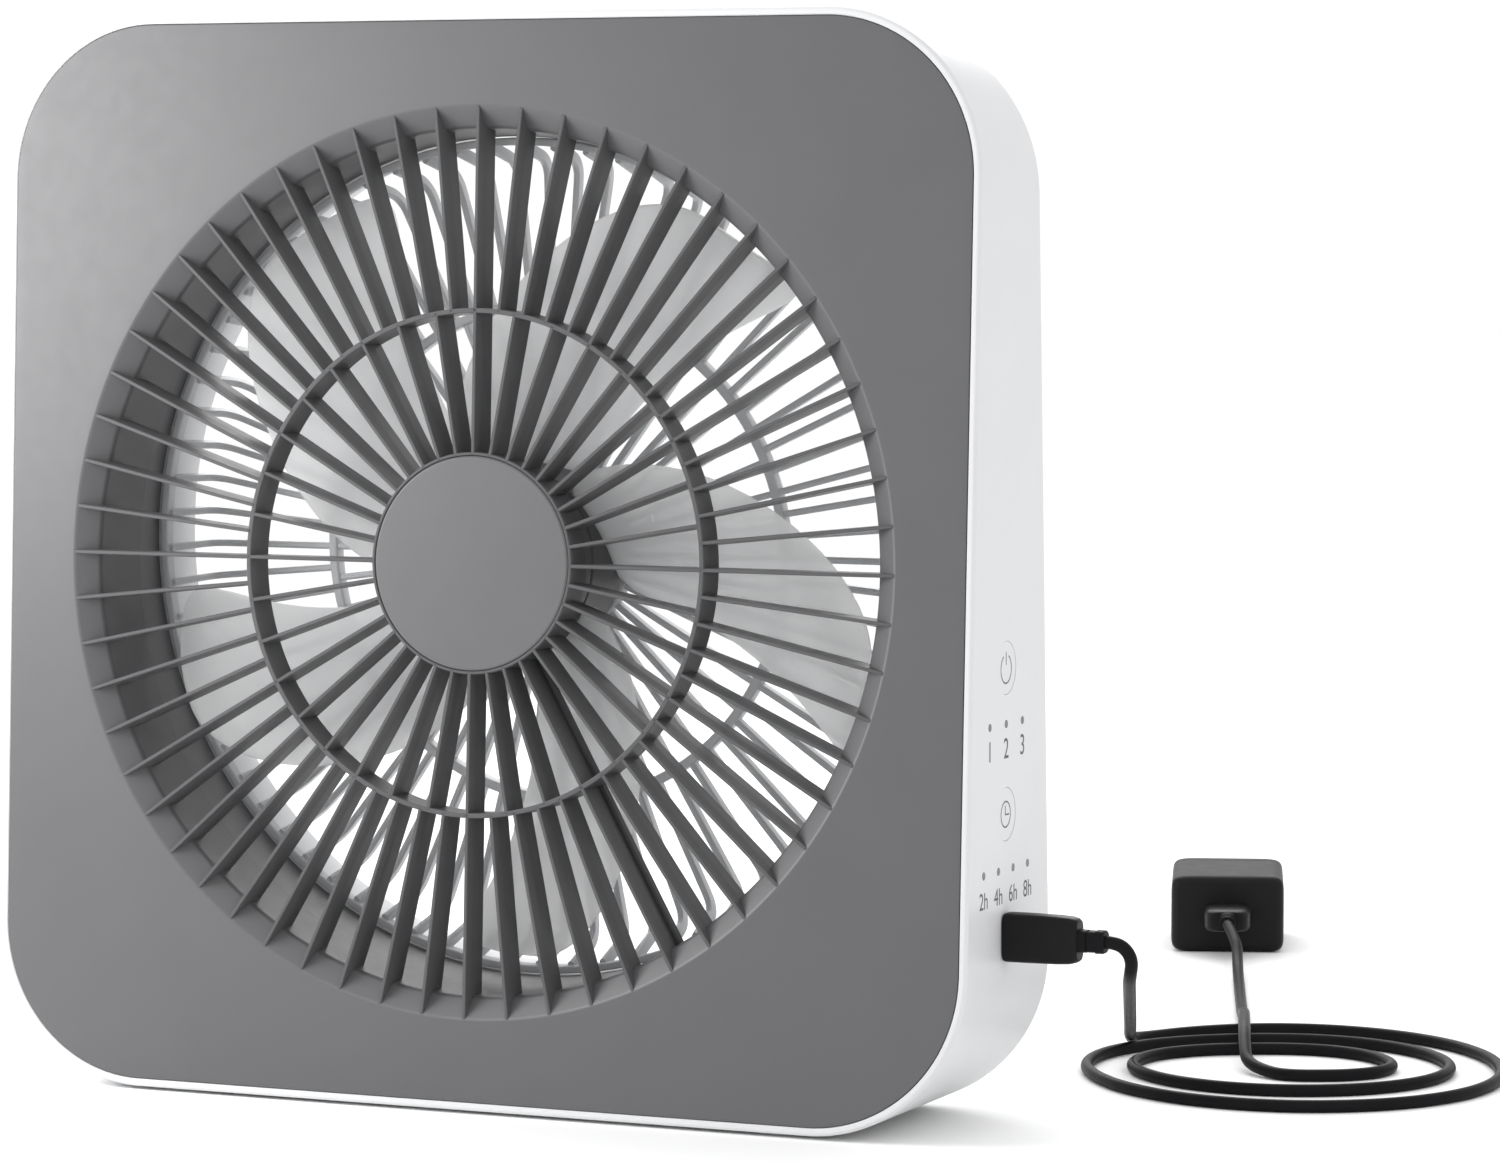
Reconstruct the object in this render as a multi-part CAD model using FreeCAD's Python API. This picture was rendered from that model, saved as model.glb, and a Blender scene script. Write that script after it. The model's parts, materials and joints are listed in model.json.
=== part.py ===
"""Desk box fan with a wedge-shaped housing, a snap-in front grille, a five-blade
impeller on an outer-rotor motor, side controls and a plug-in power lead.

Frame: +Z up, the front faces -Y, +X is the side with the controls.
Origin: on the floor, under the middle of the fan.  Units: millimetres.
"""
import FreeCAD, Part
import math
import os

V = FreeCAD.Vector
PARTS = "parts"

# ---- driving dimensions of the housing ----
WIDTH = 300.0
FRONT_H = 305.5            # along the leaning front face
REAR_H = 301.0             # along the leaning rear face
DEPTH = 71.0               # at the base
LEAN = 2.5                 # degrees, both faces lean inwards
FOOT = 1.0                 # the housing stands this high on its feet
WALL = 2.3
CORNER_R = 46.0
REAR_EDGE_R = 6.0
FRONT_EDGE_R = 1.2
GAP = 0.15                 # assembly clearance round inset parts

# ---- air path ----
AXIS_Z = 153.4
OPENING_R = 127.0
COLLAR_R = 120.8
COLLAR_BACK_R = 119.6
FLARE_DEPTH = 4.3
COLLAR_DEPTH = 24.0
COLLAR_WALL = 1.8
PANEL_T = 2.6

# ---- front grille ----
GRILLE_DEPTH = 10.5
RING_R = 70.9
RING_T = 1.4
HUB_R = 30.9
OUTER_RIBS = 60
INNER_RIBS = 36
RIB_EDGE_T = 0.9
RIB_MID_T = 1.5
FIRST_RIB = -90.0          # degrees, a rib of each row points straight down

# ---- rear grille ----
REAR_RIM_R = 119.2
REAR_RIM_DEPTH = 22.0
REAR_BEND_R = 109.0
REAR_FLAT_R = 106.0        # the flat face ends here and the dished rim begins
REAR_BAR_DEPTH = 4.0
REAR_BAR_W = 1.9
REAR_BAR_TOP = -0.4
REAR_BAR_UNDER = REAR_BAR_TOP - REAR_BAR_DEPTH
REAR_RING_R = 73.0
REAR_DISC_R = 24.0
REAR_OUTER_BARS = 72
REAR_INNER_BARS = 48

# ---- impeller ----
BLADES = 5
BLADE_FRONT = 21.0         # depths behind the front opening, on the axis
BLADE_BACK = 43.0
IMPELLER_HUB_R = 27.5
IMPELLER_HUB_T = 2.2

# ---- controls on the right wall ----
CONTROL_Y = -4.6
POWER_Z = 127.6
SPEED_LIGHT_Z = 112.3
TIMER_Z = 87.7
TIMER_LIGHT_Z = 72.6
SPEED_PITCH = 12.2
TIMER_PITCH = 11.0
BUTTON_R = 7.2
BUTTON_GAP = 0.3
LIGHT_R = 1.1
SOCKET_Z = 54.3
BOARD_X = 139.0
BOARD_T = 1.6

# ---- power lead ----
CORD_D = 3.6
PLUG_X = WIDTH / 2 + 0.2
PLUG_LEN = 21.4
BOOT_LEN = 7.5
COIL_CENTRE = V(188.0, 129.0, 0)
COIL_SWING = 23.8          # degrees the coil is turned in plan
COIL_ACROSS_R = 60.5
COIL_ALONG_R = 74.5
COIL_HOLE_R = 17.0
COIL_HOLE = V(187.0, 131.0, 0)
COIL_START = (65.0, 130.0)     # radius and angle where the drop joins it
COIL_END = (14.0, -135.0)      # radius and angle where the tail leaves it
TAIL_ANGLE = 18.7          # degrees the tail swings from +Y towards -X
TAIL_END = V(98.0, 336.0, 0)
CORD_R = CORD_D / 2
CORD_EXIT = V(PLUG_X + PLUG_LEN + BOOT_LEN, CONTROL_Y, SOCKET_Z)

# ---- frames of the two leaning faces ----
FRONT_BASE = V(0, -DEPTH / 2, FOOT)
REAR_BASE = V(0, DEPTH / 2, FOOT)
RISE = (AXIS_Z - FOOT) * math.tan(math.radians(LEAN))
FRONT_Y = -DEPTH / 2 + RISE
REAR_Y = DEPTH / 2 - RISE
X_AXIS = V(1, 0, 0)
BIG = 400.0

# ---- rear wall, screw posts and the lip round the rear opening ----
REAR_WALL = 2.6
POST_X = 122.0
POST_Z = 122.0
POST_R = 4.2
SCREW_R = 1.3
SCREW_HOLE_R = 1.35
LIP_R = 119.8
LIP_T = 1.8
POSTS = [(sx * POST_X, sz * POST_Z) for sx in (-1, 1) for sz in (-1, 1)]
BOARD_POSTS = [(-17.0, 137.0), (9.0, 62.0)]

# ---- case screws ----
SCREW_HEAD_R = 2.8
SCREW_SINK = 1.4
SCREW_LEN = 12.0

# ---- motor lead and its cover ----
LEAD_ANGLE = -60.0
CHANNEL_W = 3.0
CHANNEL_T = 2.4
LEAD_R = 0.75

# ---- feet ----
FOOT_X = 92.0
FOOT_Y = 25.0
FOOT_R = 7.0

# ---- motor base, shaft and bearings ----
BASE_FRONT = 8.0
BASE_BACK = 20.5
SHAFT_R = 2.0
BEARING_R = 4.0
POST_TUBE_R = 5.6
BOARD_DEPTH = 15.6
FRONT_BEARING = 12.0
REAR_BEARING = 34.4
BEARING_T = 3.0
RUNNING_GAP = 0.05

# ---- stator ----
STATOR_FRONT = 24.5
STATOR_BACK = 33.0
TEETH = 9

# ---- blade shape ----
BLADE_T = 1.7
ROOT_ANGLE = -129.0        # middle of the lower-left blade's root
SWEEP_START_R = 27.0
SWEEP = -0.41              # degrees of forward sweep per mm of radius
BLADE_CAMBER = 3.0

# ---- control board ----
BOARD_Z0, BOARD_Z1 = 44.0, 142.0
BOARD_Y0, BOARD_Y1 = -24.0, 16.0
SWITCH_TOP = 144.0

# ---- wall adapter and its plug ----
ADAPTER_W = 38.0
ADAPTER_L = 54.0
ADAPTER_T = 26.0
USB_BOOT_LEN = 6.8
USB_BODY_LEN = 18.4
BLADE_LEN = 16.5
BLADE_PITCH = 12.7


# ---------- small helpers ----------
def cyl(radius, y0, y1, x=0.0, z=0.0):
    """Cylinder along +Y from y0 to y1."""
    return Part.makeCylinder(radius, y1 - y0, V(x, y0, z), V(0, 1, 0))


def tube(r_in, r_out, y0, y1):
    return cyl(r_out, y0, y1).cut(cyl(r_in, y0 - 1, y1 + 1))


def rod_x(radius, x0, x1, y, z):
    """Cylinder along +X from x0 to x1."""
    return Part.makeCylinder(radius, x1 - x0, V(x0, y, z), V(1, 0, 0))


def box(x0, x1, y0, y1, z0, z1):
    return Part.makeBox(x1 - x0, y1 - y0, z1 - z0, V(x0, y0, z0))


def revolve(points):
    """Solid of revolution about +Y from (radius, depth) corners."""
    corners = [V(r, y, 0) for r, y in points]
    face = Part.Face(Part.makePolygon(corners + corners[:1]))
    return face.revolve(V(0, 0, 0), V(0, 1, 0), 360)


def turned(shape, angle, axis=V(0, 1, 0), centre=V(0, 0, 0)):
    copy = shape.copy()
    copy.rotate(centre, axis, angle)
    return copy


def about_axis(shape, angle):
    """Copy turned about the +Y axis, counter-clockwise as seen from the front."""
    return turned(shape, -angle)


def polar(shape, count, first=0.0):
    return [about_axis(shape, first + i * 360.0 / count) for i in range(count)]


def extruded(corners_2d, plane, start, length):
    """Prism of a closed outline. plane 'rt' reads (radius, depth) and runs across
    in Z; plane 'td' reads (depth, thickness) and runs outwards in X."""
    if plane == "rt":
        pts = [V(r, d, start) for r, d in corners_2d]
        way = V(0, 0, length)
    else:
        pts = [V(start, d, t) for d, t in corners_2d]
        way = V(length, 0, 0)
    return Part.Face(Part.makePolygon(pts + pts[:1])).extrude(way)


def rounded_outline(width, z0, z1, radius):
    """Rounded rectangle in the XZ plane as one wire."""
    half = width / 2
    k = radius * (1 - math.sqrt(0.5))
    pts = [(-half + radius, z0), (half - radius, z0), (half - k, z0 + k), (half, z0 + radius),
           (half, z1 - radius), (half - k, z1 - k), (half - radius, z1), (-half + radius, z1),
           (-half + k, z1 - k), (-half, z1 - radius), (-half, z0 + radius), (-half + k, z0 + k)]
    p = [V(x, 0, z) for x, z in pts]
    line = Part.LineSegment
    edges = [line(p[0], p[1]), Part.Arc(p[1], p[2], p[3]), line(p[3], p[4]),
             Part.Arc(p[4], p[5], p[6]), line(p[6], p[7]), Part.Arc(p[7], p[8], p[9]),
             line(p[9], p[10]), Part.Arc(p[10], p[11], p[0])]
    return Part.Wire([e.toShape() for e in edges])


def slot_x(length_z, width_y, x0, x1, y, z):
    """Rounded bar along X whose cross-section stands upright."""
    r = width_y / 2
    reach = length_z / 2 - r
    bar = box(x0, x1, y - r, y + r, z - reach, z + reach)
    return bar.fuse([rod_x(r, x0, x1, y, z - reach), rod_x(r, x0, x1, y, z + reach)]).removeSplitter()


def group(solids):
    return Part.Compound(solids)


# ---------- the three frames of the fan ----------


def on_front(shape):
    """From the opening's own frame (y = depth) to the leaning front face."""
    copy = turned(shape, -LEAN, X_AXIS)
    copy.translate(V(0, FRONT_Y, AXIS_Z))
    return copy


def on_rear(shape):
    """From the rear grille's own frame (y = 0 on its outer face) to the rear face."""
    copy = turned(shape, LEAN, X_AXIS)
    copy.translate(V(0, REAR_Y, AXIS_Z))
    return copy


def on_axis(shape):
    """From the impeller's frame (y = depth behind the opening) to the fan."""
    copy = shape.copy()
    copy.translate(V(0, FRONT_Y, AXIS_Z))
    return copy


def leaning_wire(wire, base, lean, offset=0.0):
    """Outline laid on the front or rear face, offset along that face's normal."""
    copy = wire.copy()
    copy.translate(V(0, offset, 0))
    copy.rotate(V(0, 0, 0), X_AXIS, lean)
    copy.translate(base)
    return copy


def ahead_of_rear(offset):
    """Half-space in front of the rear face moved by offset."""
    return on_rear(box(-BIG, BIG, -BIG, offset, -BIG, BIG))


def behind_front(depth):
    """Half-space behind the front face moved by depth."""
    return on_front(box(-BIG, BIG, depth, BIG, -BIG, BIG))


def shell_loft(inset, front_offset, rear_offset):
    radius = CORNER_R - inset
    front = rounded_outline(WIDTH - 2 * inset, inset, FRONT_H - inset, radius)
    rear = rounded_outline(WIDTH - 2 * inset, inset, REAR_H - inset, radius)
    return Part.makeLoft([leaning_wire(front, FRONT_BASE, -LEAN, front_offset),
                          leaning_wire(rear, REAR_BASE, LEAN, rear_offset)], True, True)


# ---------- housing ----------


def edges_on(shape, base, normal):
    """Edges that lie on the plane through base."""
    found = []
    for edge in shape.Edges:
        if all(abs((v.Point - base).dot(normal)) < 1e-3 for v in edge.Vertexes):
            found.append(edge)
    return found


def make_main_housing():
    lean = math.radians(LEAN)
    outer = shell_loft(0.0, 0.0, 0.0)
    rear_normal = V(0, math.cos(lean), math.sin(lean))
    front_normal = V(0, -math.cos(lean), math.sin(lean))
    outer = outer.makeFillet(REAR_EDGE_R, edges_on(outer, REAR_BASE, rear_normal))
    outer = outer.makeFillet(FRONT_EDGE_R, edges_on(outer, FRONT_BASE, front_normal))
    tub = outer.cut(shell_loft(WALL, -1.0, -REAR_WALL))
    lip = on_rear(tube(LIP_R, LIP_R + LIP_T, -REAR_RIM_DEPTH, -REAR_WALL + 0.5))
    tub = tub.fuse(lip)
    holes = [on_rear(cyl(LIP_R, -REAR_RIM_DEPTH - 5, 20))]
    holes += [on_front(cyl(SCREW_HOLE_R + 0.3, 30, BIG, x, z)) for x, z in POSTS]
    holes += [on_rear(cyl(SCREW_HEAD_R + 0.3, -SCREW_SINK, 20, x, z)) for x, z in POSTS]
    wall_x = WIDTH / 2
    for z in (POWER_Z, TIMER_Z):
        holes.append(rod_x(BUTTON_R + BUTTON_GAP, wall_x - WALL - 1, wall_x + 1, CONTROL_Y, z))
    for y, z in light_places():
        holes.append(rod_x(LIGHT_R + 0.02, wall_x - WALL - 1, wall_x + 1, y, z))
    holes.append(slot_x(9.8, 4.0, wall_x - WALL - 1, wall_x + 1, CONTROL_Y, SOCKET_Z))
    tub = tub.cut(holes)
    for y, z in BOARD_POSTS:
        post = rod_x(3.0, BOARD_X + BOARD_T, wall_x - WALL + 0.5, y, z)
        tub = tub.fuse(post.cut(rod_x(0.85, BOARD_X, wall_x - WALL, y, z)))
    return tub.removeSplitter()


def light_places():
    speed = [(CONTROL_Y + (i - 1) * SPEED_PITCH, SPEED_LIGHT_Z) for i in range(3)]
    timer = [(CONTROL_Y + (i - 1.5) * TIMER_PITCH, TIMER_LIGHT_Z) for i in range(4)]
    return speed + timer


def make_front_panel():
    """Grey face plate with the flared opening, its collar and four screw posts."""
    inset = WALL + GAP
    plate = shell_loft(inset, 0.0, 0.0).cut(behind_front(PANEL_T))
    collar_r = COLLAR_R + COLLAR_WALL
    collar = on_front(revolve([(0, 0.5), (OPENING_R + 2.4, 0.5), (OPENING_R + 2.4, PANEL_T),
                               (collar_r, FLARE_DEPTH + 3.6), (collar_r, COLLAR_DEPTH),
                               (0, COLLAR_DEPTH)]))
    posts = [on_front(cyl(POST_R, PANEL_T - 0.5, 90, x, z)) for x, z in POSTS]
    posts = [p.common(ahead_of_rear(-REAR_WALL - GAP)) for p in posts]
    panel = plate.fuse([collar] + posts)
    bore = revolve([(0, -1), (OPENING_R + 1.45, -1), (COLLAR_R, FLARE_DEPTH),
                    (COLLAR_BACK_R, COLLAR_DEPTH + 1), (0, COLLAR_DEPTH + 1)])
    cuts = [on_front(bore), lead_notch()]
    cuts += [on_front(cyl(SCREW_HOLE_R, 30, 95, x, z)).common(behind_front(30)) for x, z in POSTS]
    return panel.cut(cuts).removeSplitter()


def lead_notch():
    """Opening in the collar for the motor lead channel."""
    half = CHANNEL_W / 2 + 0.2
    notch = box(COLLAR_BACK_R - 3, COLLAR_R + 5, GRILLE_DEPTH - 0.2, GRILLE_DEPTH + CHANNEL_T + 0.2,
                -half, half)
    return on_front(about_axis(notch, LEAD_ANGLE))


def rib_blade(r_in, r_out):
    """Thin radial blade, thickest at half depth, pointing along +X."""
    e, m = RIB_EDGE_T / 2, RIB_MID_T / 2
    half = GRILLE_DEPTH / 2
    section = [(0, -e), (half, -m), (GRILLE_DEPTH, -e), (GRILLE_DEPTH, e), (half, m), (0, e)]
    return extruded(section, "td", r_in, r_out - r_in)


def make_front_grille():
    """Sixty outer and thirty-six inner ribs on a band, a ring and the hub cup."""
    reach = OPENING_R - 0.5
    envelope = revolve([(0, -1), (reach, 0.0), (COLLAR_R - 0.2, FLARE_DEPTH),
                        (COLLAR_R - 0.7, GRILLE_DEPTH), (0, GRILLE_DEPTH)])
    outer = rib_blade(RING_R - RING_T / 2, reach).common(envelope)
    inner = rib_blade(HUB_R - 0.6, RING_R - RING_T / 2)
    band = revolve([(COLLAR_R - 1.4, FLARE_DEPTH + 0.3), (COLLAR_R - 0.25, FLARE_DEPTH + 0.3),
                    (COLLAR_R - 0.75, GRILLE_DEPTH), (COLLAR_R - 1.9, GRILLE_DEPTH)])
    ring = tube(RING_R - RING_T, RING_R, 0, GRILLE_DEPTH)
    cup = cyl(HUB_R, 0, GRILLE_DEPTH).cut(cyl(HUB_R - 1.0, -1, 2.4))
    cup = cup.cut(cyl(HUB_R - 2.6, -1, 8.0))
    pieces = [ring, cup] + polar(outer, OUTER_RIBS, FIRST_RIB) + polar(inner, INNER_RIBS, FIRST_RIB)
    grille = band.multiFuse(pieces)
    screw_holes = [cyl(1.35, 0, 20, x, z) for x, z in motor_screw_places()]
    return on_front(grille.cut(screw_holes).removeSplitter())


def motor_screw_places():
    radius = 18.0
    return [(radius * math.cos(math.radians(a)), radius * math.sin(math.radians(a)))
            for a in (90, 210, 330)]


def make_hub_cap():
    """Plain disc that covers the motor screws."""
    cap = revolve([(0, -0.2), (HUB_R - 2.0, -0.2), (HUB_R - 1.25, 0.5), (HUB_R - 1.25, 2.35),
                   (HUB_R - 2.9, 2.35), (HUB_R - 2.9, 4.4), (HUB_R - 4.2, 4.4),
                   (HUB_R - 4.2, 1.8), (0, 1.8)])
    return on_front(cap)


def make_air_duct():
    """Grey ring that carries the air from the collar to the rear grille."""
    ring = on_axis(tube(COLLAR_BACK_R - 0.2, COLLAR_BACK_R + 1.9, 10, 70))
    ring = ring.common(behind_front(COLLAR_DEPTH + 0.2))
    return ring.common(ahead_of_rear(-REAR_RIM_DEPTH - 0.2))


def make_rear_grille():
    """Flat face of the guard: disc, ring and two rows of radial bars."""
    def bar(r_in, r_out):
        return extruded([(r_in, REAR_BAR_TOP), (r_out, REAR_BAR_TOP), (r_out, REAR_BAR_UNDER),
                         (r_in, REAR_BAR_UNDER)], "rt", -REAR_BAR_W / 2, REAR_BAR_W)
    ring = tube(REAR_RING_R - 2.8, REAR_RING_R, REAR_BAR_UNDER - 0.3, REAR_BAR_TOP + 0.3)
    disc = cyl(REAR_DISC_R, -3.4, REAR_BAR_TOP + 0.3)
    disc = disc.fuse(tube(REAR_DISC_R - 2, REAR_DISC_R, REAR_BAR_UNDER - 1, -3))
    bars = polar(bar(REAR_RING_R - 1, REAR_FLAT_R), REAR_OUTER_BARS)
    bars += polar(bar(REAR_DISC_R - 1, REAR_RING_R - 1), REAR_INNER_BARS)
    return on_rear(ring.multiFuse([disc] + bars).removeSplitter())


def make_rear_grille_rim():
    """Dished edge of the guard: bars that turn forwards to a rim held in the housing."""
    back = -REAR_RIM_DEPTH
    slope_out = [(REAR_RIM_R - 0.4, back + 0.4), (REAR_RIM_R - 0.4, back + 3.6),
                 (REAR_BEND_R + 4.6, -5.0), (REAR_BEND_R + 2.6, -1.6), (REAR_BEND_R, REAR_BAR_TOP)]
    slope_in = [(REAR_BEND_R - 1.8, REAR_BAR_UNDER), (REAR_BEND_R + 0.4, REAR_BAR_UNDER - 1.2),
                (REAR_BEND_R + 1.6, REAR_BAR_UNDER - 3.2), (REAR_RIM_R - 2.0, back + 0.4)]
    flat_end = [(REAR_FLAT_R, REAR_BAR_TOP), (REAR_FLAT_R, REAR_BAR_UNDER)]
    bar = extruded(slope_out + flat_end + slope_in, "rt", -REAR_BAR_W / 2, REAR_BAR_W)
    rim = tube(REAR_RIM_R - 2.2, REAR_RIM_R, back, back + 4.0)
    pad = box(REAR_RIM_R - 1, LIP_R - 0.02, back + 0.3, back + 3.7, -4, 4)
    pieces = polar(bar, REAR_OUTER_BARS) + polar(pad, 8, 22.5)
    return on_rear(rim.multiFuse(pieces).removeSplitter())


def make_housing_screws():
    screws = []
    for x, z in POSTS:
        length = 60
        shank = on_front(cyl(SCREW_R, 30, 30 + length, x, z))
        shank = shank.common(ahead_of_rear(-SCREW_SINK + 0.4)).common(on_rear(box(
            -BIG, BIG, -SCREW_LEN, 5, -BIG, BIG)))
        head = on_rear(cyl(SCREW_HEAD_R, -SCREW_SINK, -0.2, x, z).cut(
            box(x - 2, x + 2, -0.9, 0, z - 0.35, z + 0.35)).cut(
            box(x - 0.35, x + 0.35, -0.9, 0, z - 2, z + 2)))
        screws.append(head.fuse(shank))
    return group(screws)


def make_rubber_feet():
    places = [(sx * FOOT_X, sy * FOOT_Y) for sx in (-1, 1) for sy in (-1, 1)]
    feet = []
    for x, y in places:
        foot = Part.makeCylinder(FOOT_R, FOOT, V(x, y, 0))
        feet.append(foot.makeFillet(0.4, [e for e in foot.Edges if abs(e.BoundBox.ZMax) < 1e-6]))
    return group(feet)


# ---------- motor ----------


def make_motor_base():
    """Cup on the back of the grille hub, with the bearing tube."""
    body = cyl(IMPELLER_HUB_R, BASE_FRONT, BASE_BACK)
    body = body.cut(cyl(IMPELLER_HUB_R - 2, BOARD_DEPTH, BASE_BACK + 1))
    body = body.fuse(cyl(POST_TUBE_R, BASE_FRONT, 37.8))
    body = body.cut(cyl(SHAFT_R + 0.8, BASE_FRONT - 2, 50))
    body = body.cut([cyl(BEARING_R, REAR_BEARING, 40), cyl(BEARING_R, 0, FRONT_BEARING + BEARING_T)])
    base = on_axis(body).common(behind_front(GRILLE_DEPTH + 0.02))
    return base.cut([on_front(cyl(0.95, 9, 16.5, x, z)) for x, z in motor_screw_places()])


def make_motor_screws():
    screws = []
    for x, z in motor_screw_places():
        head = cyl(2.3, 6.4, 8.0, x, z).cut(box(x - 1.6, x + 1.6, 6.0, 7.0, z - 0.3, z + 0.3))
        screws.append(on_front(head.fuse(cyl(0.95, 7.5, 14.0, x, z))))
    return group(screws)


def make_bearings():
    """Two small ball bearings in the bearing tube."""
    rings = []
    bore = SHAFT_R + RUNNING_GAP
    for start in (FRONT_BEARING, REAR_BEARING):
        outer = tube(BEARING_R - 0.7, BEARING_R, start, start + BEARING_T)
        inner = tube(bore, bore + 0.6, start, start + BEARING_T)
        shield = tube(bore + 0.5, BEARING_R - 0.6, start + 1.0, start + 2.0)
        rings.append(on_axis(outer.fuse([inner, shield])))
    return group(rings)


def make_driver_board():
    top = BOARD_DEPTH + 1.2
    board = tube(POST_TUBE_R + 0.3, IMPELLER_HUB_R - 2.5, BOARD_DEPTH, top)
    parts = [box(-4, 4, top, top + 1.2, -20, -15), box(8, 12, top, top + 1.6, 6, 10),
             box(-15, -11, top, top + 1.8, 4, 9), cyl(2.0, top, top + 3.2, -10, -12)]
    return on_axis(board.fuse(parts))


def make_stator():
    core = tube(POST_TUBE_R, 10.0, STATOR_FRONT, STATOR_BACK)
    tooth = box(9.0, 18.5, STATOR_FRONT, STATOR_BACK, -1.6, 1.6)
    shoe = tube(18.0, 20.2, STATOR_FRONT, STATOR_BACK).common(
        box(15, 24, STATOR_FRONT, STATOR_BACK, -5.4, 5.4))
    return on_axis(core.multiFuse(polar(tooth.fuse(shoe), TEETH)).removeSplitter())


def make_windings():
    """A coil of copper wire round each tooth, kept just clear of it."""
    outer = box(11.2, 17.4, STATOR_FRONT - 1.6, STATOR_BACK + 1.6, -3.2, 3.2)
    outer = outer.makeFillet(1.0, [e for e in outer.Edges if abs(e.BoundBox.XLength - 6.2) < 1e-3])
    coil = outer.cut(box(9, 19, STATOR_FRONT - 0.1, STATOR_BACK + 0.1, -1.7, 1.7))
    return group([on_axis(c) for c in polar(coil, TEETH)])


def make_rotor_can():
    """Steel cup that closes the motor at the back and grips the shaft."""
    can = cyl(24.8, 22.5, 39.8).cut(cyl(23.6, 20, 38.6))
    hub = cyl(5.4, 38.6, 41.5)
    vents = polar(cyl(2.6, 38, 42, 13, 0), 6)
    return on_axis(can.fuse(hub).cut([cyl(SHAFT_R, 30, 45)] + vents))


def make_magnet_ring():
    return on_axis(tube(21.2, 23.6, STATOR_FRONT - 1, STATOR_BACK + 1))


def make_shaft():
    shaft = cyl(SHAFT_R, 10.8, 47.2)
    return on_axis(shaft.makeChamfer(0.4, [e for e in shaft.Edges if e.BoundBox.YLength < 1e-6]))


def make_retaining_clip():
    """Ring pressed on the shaft's front end, ahead of the bearing."""
    return on_axis(tube(SHAFT_R, 3.4, 10.9, 11.7))


# ---------- impeller ----------


def blade_middle(radius):
    return ROOT_ANGLE + SWEEP * (radius - SWEEP_START_R)


def blade_section(radius, chord, front, back, thick):
    """Closed outline of one blade section, square to the blade's middle line."""
    a = math.radians(blade_middle(radius))
    out = V(math.cos(a), 0, math.sin(a))
    across = V(-math.sin(a), 0, math.cos(a))
    faces = ([], [])
    for t in (0.0, 0.25, 0.5, 0.75, 1.0):
        bulge = 4 * BLADE_CAMBER * t * (1 - t)
        half = thick * (0.3 + 0.8 * t * (1 - t))
        middle = out * radius + across * (chord * (0.5 - t)) + V(0, front + (back - front) * t - bulge, 0)
        faces[0].append(middle - V(0, half, 0))
        faces[1].append(middle + V(0, half, 0))
    curves = []
    for points in faces:
        curve = Part.BSplineCurve()
        curve.interpolate(points)
        curves.append(curve.toShape())
    ends = [Part.LineSegment(faces[0][i], faces[1][i]).toShape() for i in (0, -1)]
    return Part.Wire(Part.__sortEdges__([curves[0], ends[1], curves[1], ends[0]]))


def make_blade():
    front, back = BLADE_FRONT, BLADE_BACK
    stations = [(17, 30, front, back, 1.4), (30, 37, front, back, 1.25), (45, 44, front, back, 1.1),
                (62, 49, front, back, 1.0), (80, 51, front, back, 1.0), (97, 50.5, front, back, 0.95),
                (106, 46, front + 0.8, back - 1.4, 0.9), (110.5, 38, front + 2.2, back - 3.6, 0.85),
                (112.2, 25, front + 5.5, back - 7.5, 0.7)]
    wires = [blade_section(r, c, f, b, t * BLADE_T) for r, c, f, b, t in stations]
    return Part.makeLoft(wires, True, False)


def make_impeller():
    hub = revolve([(IMPELLER_HUB_R - IMPELLER_HUB_T, BASE_BACK + 1), (IMPELLER_HUB_R, BASE_BACK + 1),
                   (IMPELLER_HUB_R, 42.5), (IMPELLER_HUB_R - 3, 44.6), (9.0, 44.6),
                   (9.0, 42.4), (IMPELLER_HUB_R - IMPELLER_HUB_T, 41.8)])
    boss = tube(SHAFT_R, 9.5, 41.6, 44.6)
    blade = make_blade().cut([cyl(IMPELLER_HUB_R - 1.2, 0, 70),
                              cyl(IMPELLER_HUB_R + 1.2, 0, BASE_BACK + 0.8)])
    ribs = [box(20, IMPELLER_HUB_R - 1, 40.2, 42, -0.6, 0.6)]
    wheel = hub.multiFuse([boss] + polar(blade, BLADES) + polar(ribs[0], 10, 18))
    return on_axis(wheel)


def make_impeller_nut():
    """Hex lock nut on the tail of the shaft."""
    corners = [V(4.6 * math.cos(math.radians(a)), 44.8, 4.6 * math.sin(math.radians(a)))
               for a in range(0, 360, 60)]
    nut = Part.Face(Part.makePolygon(corners + corners[:1])).extrude(V(0, 3.0, 0))
    return on_axis(nut.cut(cyl(SHAFT_R, 40, 50)))


# ---------- motor lead ----------
def make_lead_channel():
    """Cover strip behind one rib that hides the motor leads."""
    half = CHANNEL_W / 2
    strip = box(IMPELLER_HUB_R + 0.6, COLLAR_BACK_R + 0.4, GRILLE_DEPTH, GRILLE_DEPTH + CHANNEL_T,
                -half, half)
    groove = box(IMPELLER_HUB_R, COLLAR_BACK_R + 2, GRILLE_DEPTH - 1, GRILLE_DEPTH + CHANNEL_T - 0.6,
                 -half + 0.6, half - 0.6)
    return on_front(about_axis(strip.cut(groove), LEAD_ANGLE))


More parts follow.
